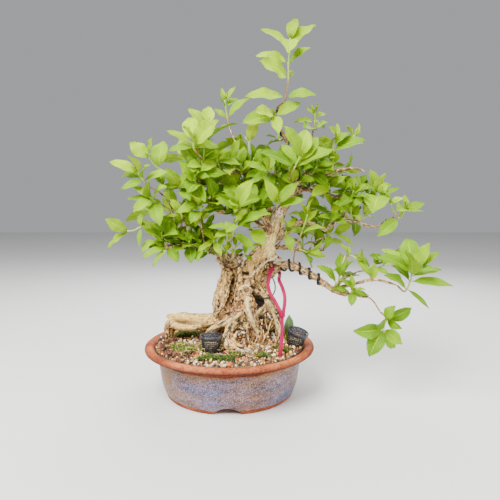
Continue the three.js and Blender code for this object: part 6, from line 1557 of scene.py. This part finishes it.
# Bends that the solids' leaves were tried in, mildest first: degrees round the stem, lift, share of length
bends = sorted(((around, lift, size) for size in (1, 0.8, 0.65) for around in (0, 12, -12, 24, -24, 38, -38)
                for lift in (0, 12, -12, 26, -26)), key=lambda b: (-b[2], math.hypot(b[0], b[1])))


def bentTip(base, tip, stem, bend):
    around, lift, size = bend
    reach = turn((tip - base) * size, stem, math.radians(around))
    return base + turn(reach, np.cross(reach, stem), math.radians(lift))


def shootPlan(path, *pairs, fork=None):
    start = np.array(path[0], float)
    ahead = unit(np.array(path[1], float) - start)
    root = start
    if fork is None:
        start = start + ahead * shoot["gap"]
    elif np.linalg.norm(fork["root"] - start) < shoot["fork"]:
        start = fork["line"].point(shoot["fork"] / fork["line"].length)[0]
    thinner = np.linspace(shoot["radius"], shoot["tipRadius"], len(path))
    line = Line([[*p, r] for p, r in zip([start, *path[1:]], thinner)])
    reach = shoot["jointHalf"] / line.length
    joints = []
    for along, *tips in pairs:
        u = min(along, 1 - 1.5 * reach)
        at, stem = line.point(u)[0], line.tangent(u)[0]
        ends = [np.array(tip[:3], float) for tip in tips]
        across = ends[0] - ends[1]
        across = unit(across - stem * (across @ stem))
        pair = [(at + across * (-1 if k else 1) * line.radius(u)[0] * math.sqrt(0.5), end, tip[3])
                for k, (end, tip) in enumerate(zip(ends, tips))]
        joints.append((u, stem, pair))
    return {"root": root, "line": line, "joints": joints}


def addShoot(bm, line, joints, seed, slim=shoot["slim"]):
    places = line.places(shoot["step"], 5)
    radii = line.radius(places) * slim
    for u in joints:
        radii = radii * (1 + 0.35 * np.exp(-(((places - u) * line.length / 1.3) ** 2)))
    centres, _, normals, binormals = line.sections(places)
    rings = tubeRings(centres, normals, binormals, radii, shoot["around"])
    tones = np.zeros(rings.shape)
    tones[..., 0] = withEnds(np.clip(0.75 - places * 1.1, 0, 1))[:, None]  # flushed red near the wood
    tones[..., 1] = random.Random(seed).random()
    before = len(bm.faces)
    addSweep(bm, rings, tone=tones)
    bm.faces.ensure_lookup_table()
    for face in bm.faces[before:]:
        face.material_index = 2


def hydrangeaLeaf(name, dark, middle, light, vein, shine, sunk):
    # A thin soft leaf: matt-satin skin, netted veins, a paler midrib and five to eight pairs of side veins.
    made, add, here = startMaterial(name, shine, **{"Specular IOR Level": 0.12})
    tone = add("SeparateColor", add("Attribute", attribute_name="tone")).node.outputs
    flat = add("SeparateXYZ", add("UVMap", uv_map="UVMap")).node.outputs
    off = add("Math", flat[0], 0.5, operation="SUBTRACT")
    aside = add("Math", off, operation="ABSOLUTE")
    rise = add("Math", flat[1], leaf["veins"], operation="MULTIPLY")
    back = add("Math", aside, 4.4, operation="MULTIPLY")
    phase = add("Math", rise, back, operation="SUBTRACT")
    saw = add("Math", phase, 0.5, operation="PINGPONG")
    side = add("MapRange", saw, 0.0, 0.1, 0.7, 0)
    rib = add("MapRange", aside, 0.012, 0.04, 1, 0)
    veins = add("Math", side, rib, operation="MAXIMUM")
    # the first tone channel carries age and painted light together: young leaves and high leaves are paler
    young = add("ValToRGB", tone[0], stops=[(0, dark), (0.5, middle), (1, light)])
    # some leaves run to blue-green, and the old one at the base is glaucous
    cool = add("MapRange", tone[2], 0.55, 1, 0, 0.4)
    cooled = add("Mix", cool, young, "#2c6410", **mixed)
    aged = add("MapRange", tone[1], 1, 2, 0, 0.85)
    shaded = add("Mix", aged, cooled, "#5c8062", **mixed)
    patch = add("TexNoise", here, 70, 4, 0.6)
    cloud = add("ValToRGB", patch, stops=[(0.3, "#b4c290"), (0.62, "#ffffff")])
    base = add("Mix", 0.6, shaded, cloud, **multiplied)
    soft = add("MapRange", veins, 0, 1, 0, 0.6)
    colour = add("Mix", soft, base, vein, **mixed)
    # the net of the smallest veins is 0.5 to 1 mm, drawn at 1.4 mm so that it shows
    net = add("TexVoronoi", here, 700, feature="DISTANCE_TO_EDGE")
    fine = add("Bump", Strength=0.15, Distance=0.0002, Height=net)
    furrow = add("Bump", Strength=0.9, Distance=0.0005, Height=veins, Normal=fine, invert=sunk)
    return closeMaterial(made, colour, Normal=furrow)


def greenStem():
    # This year's shoot: juicy yellow-green at the tip, flushed brown-red where it turns to wood.
    made, add, here = startMaterial("soft green shoot", 0.5)
    tone = add("SeparateColor", add("Attribute", attribute_name="tone")).node.outputs
    dot = add("TexNoise", here, 500, 4, 0.7)
    flush = add("MapRange", dot, 0, 1, -0.15, 0.2)
    share = add("Math", tone[0], flush, operation="ADD")
    colour = add("ValToRGB", share, stops=[(0.05, "#93b83a"), (0.35, "#a8a24a"), (0.7, "#8c5a3a")])
    pores = add("Bump", Strength=0.3, Distance=0.0002, Height=dot)
    return closeMaterial(made, colour, Normal=pores)


leafMaterials = [
    hydrangeaLeaf("hydrangea leaf, upper side", "#447200", "#729e00", "#a6c800", "#bccc20", 0.55, True),
    hydrangeaLeaf("hydrangea leaf, underside", "#567e08", "#82a610", "#aabe1c", "#c0d044", 0.65, False),
    greenStem()]

def samplesOf(points, across, along):  # a few points of a blade, past its petiole
    grid = points.reshape(along + 1, 2 * across + 1, 3)
    rows = np.linspace(0.34, 0.98, 6) * along
    return grid[rows.astype(int)][:, [across // 4, across // 2, across - across // 4]].reshape(-1, 3)


def toneOf(light, rng):  # how young and how lit its green is (higher leaves lighter, painted light), a spare draw (2 marks the old leaf), how blue its green is
    return np.array([min(1, light), rng.random(), rng.random()])


draws = parkMiller(leaf["seed"])
blades = []
plans = []
for name, _, shoots in sprays:
    main = shootPlan(*shoots[0])
    plans.append((name, [main, *(shootPlan(*other, fork=main) for other in shoots[1:])]))
for number, (name, shoots) in enumerate(plans):
    node = "spray_" + name
    tree = treeOf(vectorsOf(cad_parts[node].data))
    bm = bmesh.new()
    rng = random.Random(leaf["toneSeed"] + number)
    for plan in shoots:
        for k, (u, stem, pair) in enumerate(plan["joints"]):
            for base, end, width in pair:
                form = {"bow": 0.05 + 0.07 * next(draws), "fold": math.radians(8 + 14 * next(draws)),
                        "wave": 0.05 + 0.08 * next(draws), "twist": math.radians(24 * next(draws) - 12)}
                # the bend that the solid's leaf has: its nearest corner lies tipGap from the tip
                tips = (bentTip(base, end, stem, bend) for bend in bends)
                gaps = ((abs(tree.find(toFrame(tip))[2] - leaf["tipGap"]), tip) for tip in tips)
                tip = next((tip for gap, tip in gaps if gap < leaf["tipSlack"]), None)
                if tip is None:
                    continue
                young = (k + 1) / len(plan["joints"])
                # painted light: leaves higher in the crown are made lighter, besides the young ones near the
                # shoot's tip
                light = 0.34 + 0.3 * young + 0.25 * (tip[2] - 150) / 250 + rng.uniform(-0.18, 0.18)
                tone = toneOf(max(0.05, light), rng)
                if name == "base_leaf":
                    tone[1] = 2
                size = leaf["large"] if np.linalg.norm(tip - base) >= leaf["longLeaf"] else leaf["small"]
                points = np.clip(leafPoints(base, tip, stem, width, form, *size), plantFrom, plantTo)
                addCopy(bm, bladeTemplate(*size), points, tone=tone)
                blades.append(samplesOf(points, *size))
        addShoot(bm, plan["line"], [u for u, *_ in plan["joints"]], number)
    closeSeams(bm)
    finishPiece(node + "_leaves", bm, leafMaterials, [node])
print("leaves found in the solids:", len(blades))


# More small shoots inside the crown, where the solids leave them out: short, seeded, clear of what is there

inner = {"seed": 424, "shoots": 150, "length": (7, 24), "leafLength": (17, 34), "width": (0.42, 0.62),
         "spread": (68, 44), "places": (0.5, 0.94), "clear": 3.0, "woodClear": 2.2, "margin": 1.0,
         "bends": 48, "stemSeed": 500, "nearby": 26,
         # sprigs that hide the fork: from, to, leaf length
         "sprigs": [([-9, -8, 162], [-13, -17, 184], 16), ([2, -12, 163], [9, -21, 184], 15),
                    ([13, -10, 166], [26, -20, 181], 17), ([-4, -10, 163], [-2, -20, 191], 18),
                    ([-24, -3, 172], [-30, -14, 180], 15)],
         # limbs that carry the rest: from, to (shares of the length), weight in the draw
         "limbs": {"leader": (0.2, 0.45, 0.4), "right1": (0.2, 0.66, 1.2), "right2": (0.2, 1, 1.3),
                   "right3": (0.25, 0.85, 1.5), "right4": (0.72, 1, 0.06), "right4b": (0.2, 0.95, 0.08),
                   "right4c": (0.4, 1, 0.05), "right5": (0.3, 1, 1.2), "left1": (0.45, 1, 1.5),
                   "left2": (0.2, 1, 2.4), "left2b": (0, 1, 0.8), "left3": (0.25, 1, 1.8),
                   "left4": (0.3, 1, 1.3), "crownSide": (0.1, 1, 2.2), "back1": (0.4, 1, 0.8),
                   "back2": (0.4, 1, 0.8), "back3": (0.4, 1, 0.7), "back4": (0.4, 1, 0.7)}}
lowCorner = (plantLow - potMiddle) * 1000 + inner["margin"]
highCorner = (plantHigh - potMiddle) * 1000 - inner["margin"]


def isInside(points):
    return not ((points < lowCorner).any() or (points > highCorner).any())


def isClear(samples):
    if not isInside(samples):
        return False
    taken = np.concatenate(blades)
    near = taken[np.linalg.norm(taken - samples.mean(0), axis=1) < inner["nearby"]]
    if len(near) and np.linalg.norm(near[:, None] - samples[None], axis=2).min() < inner["clear"]:
        return False
    return np.linalg.norm(middlePoints[:, None] - samples[None, 3:], axis=2).min() > inner["woodClear"]


def innerShoots():
    rng = random.Random(inner["seed"])
    names = list(inner["limbs"])
    weights = [inner["limbs"][name][2] for name in names]
    bm = bmesh.new()
    grown = 0
    for number in range(inner["shoots"]):
        sprig = inner["sprigs"][number] if number < len(inner["sprigs"]) else None
        name = rng.choices(names, weights)[0]
        start, end, _ = inner["limbs"][name]
        line = limbLines[name]
        u = rng.uniform(start, end)
        root, along = line.point(u)[0], line.tangent(u)[0]
        away = unit(np.array([root[0] - 30, (root[1] - 5) * 1.6, 0]) + 1e-6)
        wild = np.array([rng.gauss(0, 1) for _ in range(3)])
        lean = unit(along * rng.uniform(0, 0.7) + away * 0.5 + np.array([0, -0.2, 0.9]) + wild * 0.75)
        reach = rng.uniform(*inner["length"])
        path = [root, root + lean * reach * 0.5, root + unit(lean + (0, 0, 0.35)) * reach]
        if sprig:
            path = [sprig[0], 0.5 * (np.array(sprig[0]) + sprig[1]) + (0, -1.5, 0), sprig[1]]
        shootLine = Line([[*p, r] for p, r in zip(path, (1.15, 1.0, 0.85))])
        angle = rng.uniform(0, math.pi)
        young = rng.random()
        made = []
        for k, place in enumerate(inner["places"]):
            at, up = shootLine.point(place)[0], shootLine.tangent(place)[0]
            side = unit(np.cross((0.1, 0.2, 1), up))
            for half in (0, math.pi):
                out = turn(side, up, angle + k * math.pi / 2 + half)
                spread = math.radians(inner["spread"][k] + rng.uniform(-12, 12))
                size = (sprig[2] if sprig else rng.uniform(*inner["leafLength"])) * (1 - 0.12 * k)
                width = rng.uniform(*inner["width"])
                form = {"bow": rng.uniform(0.04, 0.14), "fold": math.radians(rng.uniform(6, 24)),
                        "wave": rng.uniform(0.04, 0.14), "twist": math.radians(rng.uniform(-18, 18))}
                base = at + out * 0.7
                # painted light: leaves higher in the crown are made lighter, besides the young shoots
                light = 0.26 + 0.36 * young + 0.2 * (base[2] - 150) / 250 + rng.uniform(-0.12, 0.12)
                for bend in bends[:inner["bends"]]:
                    tip = bentTip(base, base + size * leaning(up, out, spread), up, bend)
                    points = leafPoints(base, tip, up, width, form, *leaf["small"])
                    samples = samplesOf(points, *leaf["small"])
                    if isClear(samples):
                        made.append((points, toneOf(max(0.02, light), rng)))
                        blades.append(samples)
                        break
        if not made:
            continue
        grown += len(made)
        for points, tone in made:
            addCopy(bm, bladeTemplate(*leaf["small"]), points, tone=tone)
        addShoot(bm, shootLine, inner["places"], inner["stemSeed"] + number, 1)
    print("inner leaves grown:", grown)
    closeSeams(bm)
    return bm


finishPiece("inner_shoots", innerShoots(), leafMaterials)


# Young leaves still folded at the tip of each green shoot
bud = {"seed": 88, "leaves": 4, "length": (7, 12), "spread": (14, 34), "width": 0.34, "grid": (3, 10),
       "form": {"bow": -0.06, "fold": math.radians(38), "wave": 0.02, "twist": 0}}


def budTips():
    rng = random.Random(bud["seed"])
    bm = bmesh.new()
    for _, shoots in plans:
        for plan in shoots:
            line = plan["line"]
            at, up = line.point(1)[0], line.tangent(1)[0]
            side = unit(np.cross((0.3, 0.2, 1), up))
            angle = rng.uniform(0, math.pi)
            for k in range(bud["leaves"]):
                out = turn(side, up, angle + k * math.pi / 2)
                size = rng.uniform(*bud["length"]) * (1 if k % 2 else 0.7)
                tip = at + size * leaning(up, out, math.radians(rng.uniform(*bud["spread"])))
                points = leafPoints(at - up * 0.4, tip, up, bud["width"], bud["form"], *bud["grid"])
                if isInside(points):
                    addCopy(bm, bladeTemplate(*bud["grid"]), points, tone=toneOf(rng.uniform(0.75, 1), rng))
    closeSeams(bm)
    return bm


finishPiece("bud_leaves", budTips(), leafMaterials)
print("crown filled")
